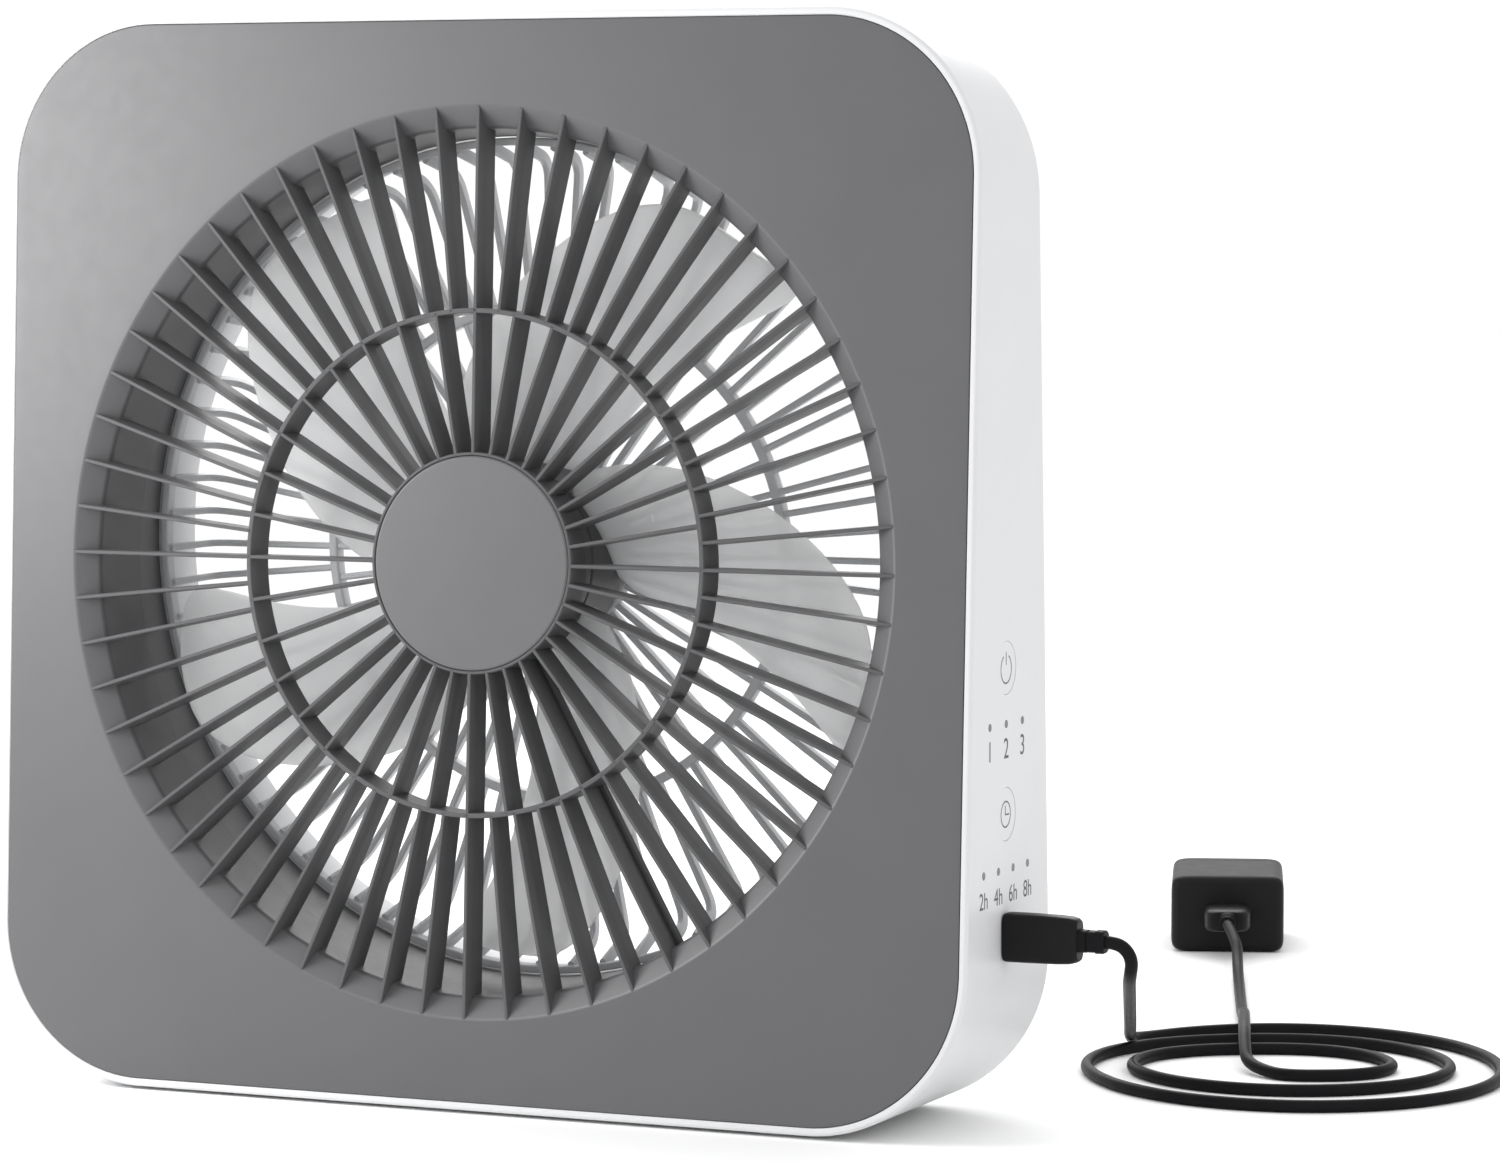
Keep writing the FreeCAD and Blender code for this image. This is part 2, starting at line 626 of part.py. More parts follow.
def bent_path(points):
    """Straight runs joined by tangent arcs; returns the wire and its bend radii."""
    edges, radii = [], []
    start = points[0]
    for i in range(1, len(points) - 1):
        before, here, after = points[i - 1], points[i], points[i + 1]
        d_in = (here - before).normalize()
        d_out = (after - here).normalize()
        half = d_in.getAngle(d_out) / 2
        reach = 0.45 * min((here - before).Length, (after - here).Length)
        radius = reach / math.tan(half)
        towards = (d_out - d_in).normalize()
        p_in, p_out = here - d_in * reach, here + d_out * reach
        middle = here + towards * (radius / math.cos(half) - radius)
        edges += [Part.LineSegment(start, p_in).toShape(), Part.Arc(p_in, middle, p_out).toShape()]
        radii.append(radius)
        start = p_out
    edges.append(Part.LineSegment(start, points[-1]).toShape())
    return Part.Wire(edges), radii


def swept(points, radius, name):
    path, radii = bent_path(points)
    tangent = points[1] - points[0]
    ring = Part.Wire([Part.Circle(points[0], tangent, radius).toShape()])
    solid = path.makePipeShell([ring], True, False)
    expected = math.pi * radius ** 2 * path.Length
    print("%s: length %.1f, volume ratio %.4f, bend radii %s" % (
        name, path.Length, solid.Volume / expected, " ".join("%.1f" % r for r in radii)))
    return solid


def make_motor_leads():
    """Sheathed leads from the grille edge along the floor of the housing to the board."""
    start = on_front(Part.Vertex(about_point(COLLAR_BACK_R + 0.4, GRILLE_DEPTH + 0.9))).Point
    route = [start, start + V(4.6, 0.6, -8.0), V(80, -15, 24), V(102, -12, 15.5),
             V(121, -10, 18), V(132.5, -9, 32), V(134.5, -9, 48), V(134.5, -9, 62),
             V(BOARD_X - 2.6, -9, 77)]
    return swept(route, LEAD_R, "motor_leads")


def about_point(radius, depth):
    a = math.radians(LEAD_ANGLE)
    return V(radius * math.cos(a), depth, radius * math.sin(a))


# ---------- controls ----------


def make_control_board():
    board = box(BOARD_X, BOARD_X + BOARD_T, BOARD_Y0, BOARD_Y1, BOARD_Z0, BOARD_Z1)
    cuts = [rod_x(0.95, BOARD_X - 1, BOARD_X + 3, y, z) for y, z in BOARD_POSTS]
    cuts.append(rod_x(1.5, BOARD_X - 1, BOARD_X + 3, BOARD_Y0 + 3, BOARD_Z0 + 4))
    return board.cut(cuts)


def make_board_parts():
    """Controller chip, connector and capacitor on the inner face of the board."""
    chip = box(BOARD_X - 1.4, BOARD_X, -8, 2, 108, 118)
    header = box(BOARD_X - 5.5, BOARD_X, -13, -5, 77, 84)
    capacitor = Part.makeCylinder(3.0, 9.0, V(BOARD_X, 8, 90), V(-1, 0, 0))
    return group([chip, header, capacitor])


def make_board_screws():
    screws = []
    for y, z in BOARD_POSTS:
        head = rod_x(1.7, BOARD_X - 1.2, BOARD_X, y, z)
        head = head.cut(box(BOARD_X - 1.3, BOARD_X - 0.7, y - 1.2, y + 1.2, z - 0.25, z + 0.25))
        screws.append(head.fuse(rod_x(0.8, BOARD_X - 0.2, BOARD_X + 6, y, z)))
    return group(screws)


def make_switch(z):
    """Tact switch: square body and round plunger."""
    body = box(BOARD_X + BOARD_T, SWITCH_TOP - 0.8, CONTROL_Y - 3, CONTROL_Y + 3, z - 3, z + 3)
    return body.fuse(rod_x(1.7, BOARD_X + BOARD_T, SWITCH_TOP, CONTROL_Y, z))


def make_button(z):
    """Flush round button with a retaining flange and a stem towards the switch."""
    face_x = WIDTH / 2 - 0.1
    disc = rod_x(BUTTON_R, face_x - 3.4, face_x, CONTROL_Y, z)
    disc = disc.makeFillet(0.5, [e for e in disc.Edges if abs(e.BoundBox.XMin - face_x) < 1e-6])
    flange = rod_x(BUTTON_R + 1.3, face_x - 4.4, WIDTH / 2 - WALL - BUTTON_GAP, CONTROL_Y, z)
    stem = rod_x(1.7, SWITCH_TOP + 1.1, face_x - 3, CONTROL_Y, z)
    return disc.fuse([flange, stem]).removeSplitter()


def make_light_pipes(places):
    outer = WIDTH / 2 + 0.05
    return group([rod_x(LIGHT_R, outer - WALL - 1.2, outer, y, z) for y, z in places])


def make_leds():
    return group([box(BOARD_X + BOARD_T, BOARD_X + BOARD_T + 1.2, y - 0.8, y + 0.8, z - 0.5, z + 0.5)
                  for y, z in light_places()])


def make_power_socket():
    """Upright metal-shell inlet with its contact tongue."""
    shell = slot_x(9.4, 3.6, BOARD_X + BOARD_T, WIDTH / 2 - 0.4, CONTROL_Y, SOCKET_Z)
    hollow = slot_x(8.7, 2.9, BOARD_X + BOARD_T + 1.4, WIDTH / 2 + 1, CONTROL_Y, SOCKET_Z)
    tongue = box(BOARD_X + BOARD_T + 1, WIDTH / 2 - 3, CONTROL_Y - 0.35, CONTROL_Y + 0.35,
                 SOCKET_Z - 3.2, SOCKET_Z + 3.2)
    return shell.cut(hollow).fuse(tongue)


# ---------- power lead ----------
def rounded_bar(width_y, height_z, x0, x1, y, z, radius):
    bar = box(x0, x1, y - width_y / 2, y + width_y / 2, z - height_z / 2, z + height_z / 2)
    return bar.makeFillet(radius, bar.Edges)


def make_plug_tip():
    shell = slot_x(8.4, 2.6, PLUG_X - 6.4, PLUG_X + 1.0, CONTROL_Y, SOCKET_Z)
    return shell.cut(slot_x(7.7, 1.9, PLUG_X - 7, PLUG_X - 0.4, CONTROL_Y, SOCKET_Z))


def make_plug_body():
    body = rounded_bar(7.8, 13.4, PLUG_X, PLUG_X + PLUG_LEN, CONTROL_Y, SOCKET_Z, 1.5)
    return body.cut(slot_x(8.4, 2.6, PLUG_X - 1, PLUG_X + 1.0, CONTROL_Y, SOCKET_Z))


def make_plug_boot():
    x0 = PLUG_X + PLUG_LEN
    start = Part.Wire([Part.Circle(V(x0, CONTROL_Y, SOCKET_Z), X_AXIS, 3.2).toShape()])
    end = Part.Wire([Part.Circle(V(x0 + BOOT_LEN, CONTROL_Y, SOCKET_Z), X_AXIS, 2.7).toShape()])
    return Part.makeLoft([start, end], True, True)


def coil_point(place):
    """Floor point at a radius and angle of the coil."""
    radius, angle = place
    a = math.radians(angle + COIL_SWING)
    return COIL_CENTRE + V(radius * math.cos(a), radius * math.sin(a), CORD_R)


def drop_route():
    """From the plug's boot, down and back to the coil."""
    return [CORD_EXIT, V(182.3, -4.6, 54.2), V(184.9, -3.8, 52.1), V(185.6, -2.2, 49.0),
            V(184.1, 0.8, 45.3), V(181.0, 8.5, 41.9), V(175.0, 25.5, 36.8), V(164.4, 55.3, 28.2),
            V(153.8, 85.1, 20.0), V(143.6, 113.8, 12.6), V(136.6, 133.0, 7.9),
            V(131.8, 147.0, 4.4), coil_point(COIL_START)]


def tail_route():
    """From the coil's inner end over its turns and along the floor to the adapter."""
    return [coil_point(COIL_END), V(177.4, 120.6, 3.0), V(173.4, 130.0, 6.0), V(169.6, 141.0, 8.8),
            V(163.8, 158.0, 9.4), V(158.0, 175.0, 9.0), V(152.2, 192.0, 6.6), V(145.6, 211.0, 2.4),
            V(138.4, 231.0, CORD_R), V(117.5, 290.0, CORD_R), V(110.4, 310.0, 4.4),
            V(106.0, 322.4, 9.6), tail_end()]


def tail_end():
    return TAIL_END + V(0, 0, ADAPTER_T / 2)


def make_coil():
    """Closed ring of the outer shape of the loose turns."""
    oval = Part.Wire([Part.Ellipse(V(0, 0, 0), COIL_ALONG_R, COIL_ACROSS_R).toShape()])
    ring = Part.Face(oval).extrude(V(0, 0, CORD_D))
    ring.rotate(V(0, 0, 0), V(0, 0, 1), 90 + COIL_SWING)
    ring.translate(COIL_CENTRE)
    return ring.cut(Part.makeCylinder(COIL_HOLE_R, CORD_D + 2, COIL_HOLE - V(0, 0, 1)))


# ---------- wall adapter, lying behind the coil ----------


def on_tail(shape):
    """From the adapter's frame (+Y along the lead, z = 0 at mid thickness) to the floor."""
    copy = turned(shape, TAIL_ANGLE, V(0, 0, 1))
    copy.translate(tail_end())
    return copy


def make_usb_boot():
    boot = Part.makeCone(2.6, 3.2, USB_BOOT_LEN, V(0, 0, 0), V(0, 1, 0))
    return on_tail(boot)


def make_usb_plug():
    y0 = USB_BOOT_LEN
    body = box(-7.8, 7.8, y0, y0 + USB_BODY_LEN, -3.9, 3.9)
    body = body.makeFillet(1.4, [e for e in body.Edges if e.BoundBox.YLength > 1])
    return on_tail(body)


def make_usb_shell():
    y0 = USB_BOOT_LEN + USB_BODY_LEN
    shell = box(-6.0, 6.0, y0, y0 + 11.5, -2.25, 2.25)
    return on_tail(shell.cut(box(-5.7, 5.7, y0 + 1, y0 + 12, -1.95, 1.95)))


def make_adapter_case():
    y0 = USB_BOOT_LEN + USB_BODY_LEN + 0.2
    case = box(-ADAPTER_W / 2, ADAPTER_W / 2, y0, y0 + ADAPTER_L, -ADAPTER_T / 2, ADAPTER_T / 2)
    case = case.makeFillet(3.2, case.Edges)
    port = box(-6.6, 6.6, y0 - 1, y0 + 14, -2.9, 2.9)
    slots = [box(x - 3.3, x + 3.3, y0 + ADAPTER_L - 3, y0 + ADAPTER_L + 1, -0.8, 0.8)
             for x in (-BLADE_PITCH / 2, BLADE_PITCH / 2)]
    return on_tail(case.cut([port] + slots))


def make_adapter_port():
    y0 = USB_BOOT_LEN + USB_BODY_LEN + 0.4
    frame = box(-6.55, 6.55, y0, y0 + 13.5, -2.85, 2.85)
    return on_tail(frame.cut(box(-6.1, 6.1, y0 - 1, y0 + 12.5, -2.35, 2.35)))


def make_adapter_blades():
    y0 = USB_BOOT_LEN + USB_BODY_LEN + 0.2 + ADAPTER_L
    blades = []
    for x in (-BLADE_PITCH / 2, BLADE_PITCH / 2):
        blade = box(x - 3.15, x + 3.15, y0 - 2.8, y0 + BLADE_LEN, -0.75, 0.75)
        tip = [e for e in blade.Edges
               if e.BoundBox.YMin > y0 + BLADE_LEN - 0.01 and e.BoundBox.ZLength > 1]
        blade = blade.makeChamfer(1.2, tip)
        hole = Part.makeCylinder(1.6, 4, V(x, y0 + BLADE_LEN - 3.6, -2))
        blades.append(on_tail(blade.cut(hole)))
    return group(blades)


NODES = {
    "main_housing": make_main_housing,
    "front_panel": make_front_panel,
    "front_grille": make_front_grille,
    "hub_cap": make_hub_cap,
    "air_duct": make_air_duct,
    "rear_grille": make_rear_grille,
    "rear_grille_rim": make_rear_grille_rim,
    "housing_screws": make_housing_screws,
    "rubber_feet": make_rubber_feet,
    "motor_base": make_motor_base,
    "motor_screws": make_motor_screws,
    "motor_bearings": make_bearings,
    "motor_driver_board": make_driver_board,
    "motor_stator": make_stator,
    "motor_windings": make_windings,
    "motor_rotor_can": make_rotor_can,
    "motor_magnet_ring": make_magnet_ring,
    "motor_shaft": make_shaft,
    "motor_retaining_clip": make_retaining_clip,
    "impeller": make_impeller,
    "impeller_nut": make_impeller_nut,
    "lead_channel": make_lead_channel,
    "motor_leads": make_motor_leads,
    "control_board": make_control_board,
    "control_board_parts": make_board_parts,
    "control_board_screws": make_board_screws,
    "power_switch": lambda: make_switch(POWER_Z),
    "timer_switch": lambda: make_switch(TIMER_Z),
    "power_button": lambda: make_button(POWER_Z),
    "timer_button": lambda: make_button(TIMER_Z),
    "speed_light_pipes": lambda: make_light_pipes(light_places()[:3]),
    "timer_light_pipes": lambda: make_light_pipes(light_places()[3:]),
    "indicator_leds": make_leds,
    "power_socket": make_power_socket,
    "power_plug_tip": make_plug_tip,
    "power_plug": make_plug_body,
    "power_plug_boot": make_plug_boot,
    "cord_drop": lambda: swept(drop_route(), CORD_R, "cord_drop"),
    "cord_coil": make_coil,
    "cord_tail": lambda: swept(tail_route(), CORD_R, "cord_tail"),
    "usb_plug_boot": make_usb_boot,
    "usb_plug": make_usb_plug,
    "usb_plug_shell": make_usb_shell,
    "adapter_case": make_adapter_case,
    "adapter_port": make_adapter_port,
    "adapter_blades": make_adapter_blades,
}


def main():
    os.makedirs(PARTS, exist_ok=True)
    for name, make in NODES.items():
        shape = make()
        if not shape.isValid() or shape.Volume <= 0:
            raise RuntimeError("bad shape: " + name)
        shape.exportStep(PARTS + "/" + name + ".step")


main()
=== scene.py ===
"""Box fan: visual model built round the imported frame.

Lengths in the helpers are millimetres in the fan's own frames; meshes are
stored in metres.
"""
import json
import math

import bmesh
import bpy
import numpy as np
from mathutils import Matrix, Vector


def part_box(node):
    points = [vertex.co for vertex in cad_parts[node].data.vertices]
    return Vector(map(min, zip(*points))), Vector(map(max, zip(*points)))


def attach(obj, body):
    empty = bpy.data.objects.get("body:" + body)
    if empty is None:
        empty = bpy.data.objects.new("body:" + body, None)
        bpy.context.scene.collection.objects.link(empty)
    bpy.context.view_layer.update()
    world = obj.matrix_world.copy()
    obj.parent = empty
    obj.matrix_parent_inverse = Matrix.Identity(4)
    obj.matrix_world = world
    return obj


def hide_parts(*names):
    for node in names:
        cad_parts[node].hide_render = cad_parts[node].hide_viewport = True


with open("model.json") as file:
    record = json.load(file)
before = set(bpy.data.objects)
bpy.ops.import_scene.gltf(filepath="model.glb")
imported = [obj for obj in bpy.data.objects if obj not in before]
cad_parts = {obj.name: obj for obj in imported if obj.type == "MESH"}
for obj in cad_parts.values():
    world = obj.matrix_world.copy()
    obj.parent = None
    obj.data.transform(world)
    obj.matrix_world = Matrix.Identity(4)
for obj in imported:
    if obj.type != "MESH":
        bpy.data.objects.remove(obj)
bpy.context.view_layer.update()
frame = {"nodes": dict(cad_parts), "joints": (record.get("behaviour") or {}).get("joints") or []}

MM = 0.001


def in_mm(node):
    low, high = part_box(node)
    return low / MM, high / MM


# ---- housing, as in the CAD ----
LEAN = 2.5                 # degrees, both faces lean inwards
FOOT = 1.0                 # the housing stands this high on its feet
WIDTH = round(in_mm("main_housing")[1].x - in_mm("main_housing")[0].x, 1)
DEPTH = 71.0               # at the base
FRONT_H = 305.5            # along the leaning front face
REAR_H = 301.0             # along the leaning rear face
CORNER_R = 46.0
WALL = 2.3
GAP = 0.15
REAR_WALL = 2.6
REAR_EDGE_R = 6.0
FRONT_EDGE_R = 1.2
POST_OFFSET = 122.0        # screws, each way from the axis
SCREW_HOLE_R = 3.0
SCREW_SINK = 1.4
AXIS_Z = next(j for j in frame["joints"] if j["name"] == "impeller_spin")["pos_m"][2] / MM
WALL_X = WIDTH / 2
SIDES = 480                # points round the outlines of the housing

# ---- air path ----
OPENING_R = 127.0
COLLAR_R = 120.8
COLLAR_BACK_R = 119.6
COLLAR_WALL = 1.8
COLLAR_DEPTH = 24.0
FLARE_DEPTH = 4.3
PANEL_T = 2.6
DUCT_WALL = 1.9
DUCT_GAP = 0.2
LIP_R = 119.8
LIP_T = 1.8
RIM_DEPTH = 22.0

# ---- front grille ----
GRILLE_DEPTH = 10.5
RING_R = 70.9
RING_T = 1.4
HUB_R = 30.9
OUTER_RIBS = 60
INNER_RIBS = 36
FIRST_RIB = -90.0          # degrees, a rib of each row points straight down

# ---- rear guard ----
REAR_RIM_R = 119.2
REAR_RING_R = 73.0
REAR_DISC_R = 24.0
BAR_TOP = -0.4
BAR_DEPTH = 4.0
BAR_UNDER = BAR_TOP - BAR_DEPTH
REAR_BAR_W = 1.9
REAR_BAR_THICK = 3.6
REAR_OUTER_BARS = 72
REAR_INNER_BARS = 48
REAR_FLAT_R = 106.0        # the outer bars are flat up to here
BEND_R = 7.0               # radius of the outer bars' turn towards the rim

# ---- impeller ----
BLADE_COUNT = 5
ROOT_ANGLE = -129.0        # middle of the lower-left blade's root
SWEEP_START_R = 27.0
SWEEP = -0.41              # degrees of forward sweep per mm of radius
BLADE_CAMBER = 3.0
BLADE_T = 1.7
IMPELLER_HUB_R = 27.5
IMPELLER_HUB_WALL = 2.2

# ---- controls on the right wall ----
CONTROL_Y = -4.6
POWER_Z = 127.6
TIMER_Z = 87.7
SPEED_LIGHT_Z = 112.3
TIMER_LIGHT_Z = 72.6
SPEED_PITCH = 12.2
TIMER_PITCH = 11.0
SOCKET_Z = 54.3
BUTTON_HOLE_R = 7.34
BUTTON_R = 7.26
BUTTON_DEPTH = 3.4
LIGHT_HOLE_R = 1.15
SOCKET_SLOT = (9.8, 4.0)   # length and width
SKIN = 0.03                # printed marks stand this far off the wall
STROKE_W = 0.42
POWER_SYMBOL_R = 3.9
TIMER_SYMBOL_R = 3.5
SPEED_DIGIT_H = 5.8
SPEED_DIGIT_DROP = 6.9     # below the lights
TIMER_LABEL_H = 4.8
TIMER_LABEL_DROP = 7.1

# ---- power lead ----
CORD_D = 3.6
CORD_R = CORD_D / 2
PLUG_X = WALL_X + 0.2
PLUG_LEN = 21.4
BOOT_LEN = 7.5
COIL_CENTRE = Vector((188.0, 129.0, 0))
COIL_SWING = 23.8          # degrees the coil is turned in plan
COIL_START = (65.0, 130.0)     # radius and angle where the drop joins it
COIL_END = (14.0, -135.0)      # radius and angle where the tail leaves it
TAIL_ANGLE = 18.7          # degrees the tail swings from +Y towards -X
TAIL_END = Vector((98.0, 336.0, 13.0))

# ---- wall adapter and its plug ----
ADAPTER_W = 38.0
ADAPTER_L = 54.0
ADAPTER_T = 26.0
USB_BOOT_LEN = 6.8
USB_BODY_LEN = 18.4
BLADE_PITCH = 12.7

# ---- camera ----
LENS = 130.9
SENSOR_W = 36.0
EYE = Vector((0.67955, -1.38035, 0.25486))
TARGET = Vector((0.08767, -0.0355, 0.1506))

# ---- frames of the leaning faces, the axle and the lead's far end ----
FACE_RISE = (AXIS_Z - FOOT) / math.cos(math.radians(LEAN))
FRONT_Y = -DEPTH / 2 + (AXIS_Z - FOOT) * math.tan(math.radians(LEAN))
FRONT = Matrix.Translation((0, FRONT_Y, AXIS_Z)) @ Matrix.Rotation(math.radians(-LEAN), 4, "X")
REAR = Matrix.Translation((0, -FRONT_Y, AXIS_Z)) @ Matrix.Rotation(math.radians(LEAN), 4, "X")
AXLE = Matrix.Translation((0, FRONT_Y, AXIS_Z))
TAIL = Matrix.Translation(TAIL_END) @ Matrix.Rotation(math.radians(TAIL_ANGLE), 4, "Z")


# ---------- camera ----------
def add_camera():
    data = bpy.data.cameras.new("camera")
    data.lens = LENS
    data.sensor_width = SENSOR_W
    camera = bpy.data.objects.new("camera", data)
    bpy.context.scene.collection.objects.link(camera)
    camera.location = EYE
    camera.rotation_euler = (TARGET - EYE).to_track_quat("-Z", "Y").to_euler()
    bpy.context.scene.camera = camera


add_camera()
bpy.context.scene.view_settings.view_transform = "Standard"


# ---------- materials ----------
def base_material(name):
    material = bpy.data.materials.new(name)
    material.use_nodes = True
    tree = material.node_tree
    return material, tree, tree.nodes["Principled BSDF"]


def noise_field(tree, scale, detail=3.0, stretch=(1, 1, 1)):
    """Noise in object space; scale is in cells per metre."""
    coords = tree.nodes.new("ShaderNodeTexCoord")
    mapping = tree.nodes.new("ShaderNodeMapping")
    mapping.inputs["Scale"].default_value = stretch
    noise = tree.nodes.new("ShaderNodeTexNoise")
    noise.inputs["Scale"].default_value = scale
    noise.inputs["Detail"].default_value = detail
    tree.links.new(coords.outputs["Object"], mapping.inputs["Vector"])
    tree.links.new(mapping.outputs["Vector"], noise.inputs["Vector"])
    return noise.outputs["Fac"]


def vary_colour(tree, shader, colour, spread, scale):
    """Base colour that drifts gently over the surface."""
    ramp = tree.nodes.new("ShaderNodeValToRGB")
    low, high = (1 - spread), (1 + spread)
    ramp.color_ramp.elements[0].position = 0.3
    ramp.color_ramp.elements[1].position = 0.7
    ramp.color_ramp.elements[0].color = [min(1, c * low) for c in colour] + [1]
    ramp.color_ramp.elements[1].color = [min(1, c * high) for c in colour] + [1]
    tree.links.new(noise_field(tree, scale), ramp.inputs["Fac"])
    tree.links.new(ramp.outputs["Color"], shader.inputs["Base Color"])


def vary_roughness(tree, shader, low, high, scale, stretch=(1, 1, 1)):
    span = tree.nodes.new("ShaderNodeMapRange")
    span.inputs["To Min"].default_value = low
    span.inputs["To Max"].default_value = high
    tree.links.new(noise_field(tree, scale, 4.0, stretch), span.inputs["Value"])
    tree.links.new(span.outputs["Result"], shader.inputs["Roughness"])


def add_bump(tree, shader, scale, depth_mm, strength, stretch=(1, 1, 1)):
    bump = tree.nodes.new("ShaderNodeBump")
    bump.inputs["Strength"].default_value = strength
    bump.inputs["Distance"].default_value = depth_mm * MM
    tree.links.new(noise_field(tree, scale, 2.0, stretch), bump.inputs["Height"])
    tree.links.new(bump.outputs["Normal"], shader.inputs["Normal"])


def plastic(name, colour, rough=0.4, spread=0.02, grain=2600, depth=0.02, strength=0.25, specular=0.5):
    material, tree, shader = base_material(name)
    vary_colour(tree, shader, colour, spread, 40)
    vary_roughness(tree, shader, rough - 0.05, rough + 0.06, 180)
    add_bump(tree, shader, grain, depth, strength)
    shader.inputs["Specular IOR Level"].default_value = specular
    return material


def soft_rubber(name, colour, rough=0.5, specular=0.5):
    material, tree, shader = base_material(name)
    vary_colour(tree, shader, colour, 0.12, 90)
    vary_roughness(tree, shader, rough - 0.07, rough + 0.08, 320)
    add_bump(tree, shader, 1800, 0.03, 0.3)
    shader.inputs["Specular IOR Level"].default_value = specular
    return material


def metal(name, colour, rough=0.28, stretch=(1, 12, 12)):
    material, tree, shader = base_material(name)
    shader.inputs["Metallic"].default_value = 1.0
    vary_colour(tree, shader, colour, 0.05, 260)
    vary_roughness(tree, shader, rough - 0.06, rough + 0.1, 900, stretch)
    add_bump(tree, shader, 1500, 0.01, 0.2, stretch)
    return material


def pale_blade_plastic(name):
    """Milky plastic that lets a little of what is behind it through."""
    material, tree, shader = base_material(name)
    vary_colour(tree, shader, (0.82, 0.83, 0.84), 0.015, 30)
    vary_roughness(tree, shader, 0.34, 0.46, 140)
    add_bump(tree, shader, 1400, 0.02, 0.15)
    shader.inputs["Subsurface Weight"].default_value = 1.0
    shader.inputs["Subsurface Radius"].default_value = (1.0, 1.0, 1.0)
    shader.inputs["Subsurface Scale"].default_value = 0.006
    shader.inputs["Alpha"].default_value = 0.78
    return material


WHITE = plastic("white_plastic", (0.655, 0.66, 0.67), 0.42, 0.01)
# same white plastic as the housing, made greyer for the rear guard as painted shade
SHADED_GUARD_WHITE = plastic("white_plastic_with_painted_shade", (0.56, 0.565, 0.575), 0.42, 0.01)
GREY_FACE = plastic("grey_face_plastic", (0.092, 0.092, 0.096), 0.42, 0.02, 1900, 0.03, 0.3)
GREY_RIB = plastic("grey_rib_plastic", (0.098, 0.098, 0.101), 0.38, 0.03, 2600, 0.02, 0.25, 0.12)
GREY_CAP = plastic("grey_cap_plastic", (0.108, 0.108, 0.112), 0.38, 0.02)
DARK = plastic("dark_plastic", (0.07, 0.07, 0.073), 0.45, 0.05)
BLADE = pale_blade_plastic("pale_blade_plastic")
BLACK = plastic("black_plastic", (0.010, 0.010, 0.011), 0.36, 0.1, 2400, 0.03, 0.35, 0.1)
BLACK_GRAIN = plastic("black_grained_plastic", (0.012, 0.012, 0.013), 0.42, 0.1, 1500, 0.06, 0.5, 0.08)
RUBBER = soft_rubber("black_cord_rubber", (0.010, 0.010, 0.011), 0.38, 0.045)
FOOT_RUBBER = soft_rubber("foot_rubber", (0.35, 0.35, 0.35), 0.7)
STEEL = metal("plated_steel", (0.62, 0.62, 0.60))
DARK_STEEL = metal("dark_steel", (0.22, 0.22, 0.23), 0.35)
COPPER = metal("enamelled_copper", (0.62, 0.24, 0.09), 0.3)
BRASS = metal("machined_brass", (0.72, 0.52, 0.22), 0.25)
GREEN_BOARD = plastic("solder_mask", (0.02, 0.13, 0.05), 0.3, 0.12)
SMOKED = plastic("smoked_lens", (0.10, 0.10, 0.105), 0.2, 0.05)
PRINT = plastic("grey_print", (0.06, 0.06, 0.062), 0.5, 0.04)

CAD_LOOKS = {
    "motor_base": DARK, "lead_channel": GREY_RIB, "motor_leads": RUBBER,
    "housing_screws": STEEL, "rubber_feet": FOOT_RUBBER, "motor_screws": STEEL,
    "motor_bearings": STEEL, "motor_driver_board": GREEN_BOARD, "motor_stator": DARK_STEEL,
    "motor_windings": COPPER, "motor_rotor_can": DARK_STEEL, "motor_magnet_ring": DARK,
    "motor_shaft": STEEL, "motor_retaining_clip": DARK_STEEL, "impeller_nut": BRASS,
    "control_board": GREEN_BOARD, "control_board_parts": DARK, "control_board_screws": STEEL,
    "power_switch": DARK, "timer_switch": DARK, "indicator_leds": WHITE, "power_socket": STEEL,
    "speed_light_pipes": SMOKED, "timer_light_pipes": SMOKED, "power_plug_tip": STEEL,
    "usb_plug_shell": STEEL, "adapter_port": STEEL, "adapter_blades": STEEL,
}
SMOOTH_ANGLE = math.radians(32)


def paint(obj, material):
    obj.data.materials.clear()
    obj.data.materials.append(material)


for node, look in CAD_LOOKS.items():
    paint(frame["nodes"][node], look)


# ---------- mesh helpers ----------
def finish_piece(obj, material, body, replaced=()):
    paint(obj, material)
    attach(obj, body)
    if replaced:
        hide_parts(*replaced)
    return obj


def mesh_object(name, points, faces, place=Matrix(), subdivide=0, weighted=True):
    """Object from points in millimetres, smooth where its faces meet gently."""
    mesh = bpy.data.meshes.new(name)
    mesh.from_pydata([(place @ Vector(p)) * MM for p in points], [], faces)
    tidy = bmesh.new()
    tidy.from_mesh(mesh)
    bmesh.ops.remove_doubles(tidy, verts=tidy.verts, dist=1e-7)
    bmesh.ops.recalc_face_normals(tidy, faces=tidy.faces)
    tidy.to_mesh(mesh)
    tidy.free()
    mesh.shade_smooth()
    if not subdivide:
        mesh.set_sharp_from_angle(angle=SMOOTH_ANGLE)
    obj = bpy.data.objects.new(name, mesh)
    bpy.context.scene.collection.objects.link(obj)
    if subdivide:
        surface = obj.modifiers.new("surface", "SUBSURF")
        surface.levels = surface.render_levels = subdivide
    elif weighted:
        normals = obj.modifiers.new("normals", "WEIGHTED_NORMAL")
        normals.keep_sharp = True
    return obj


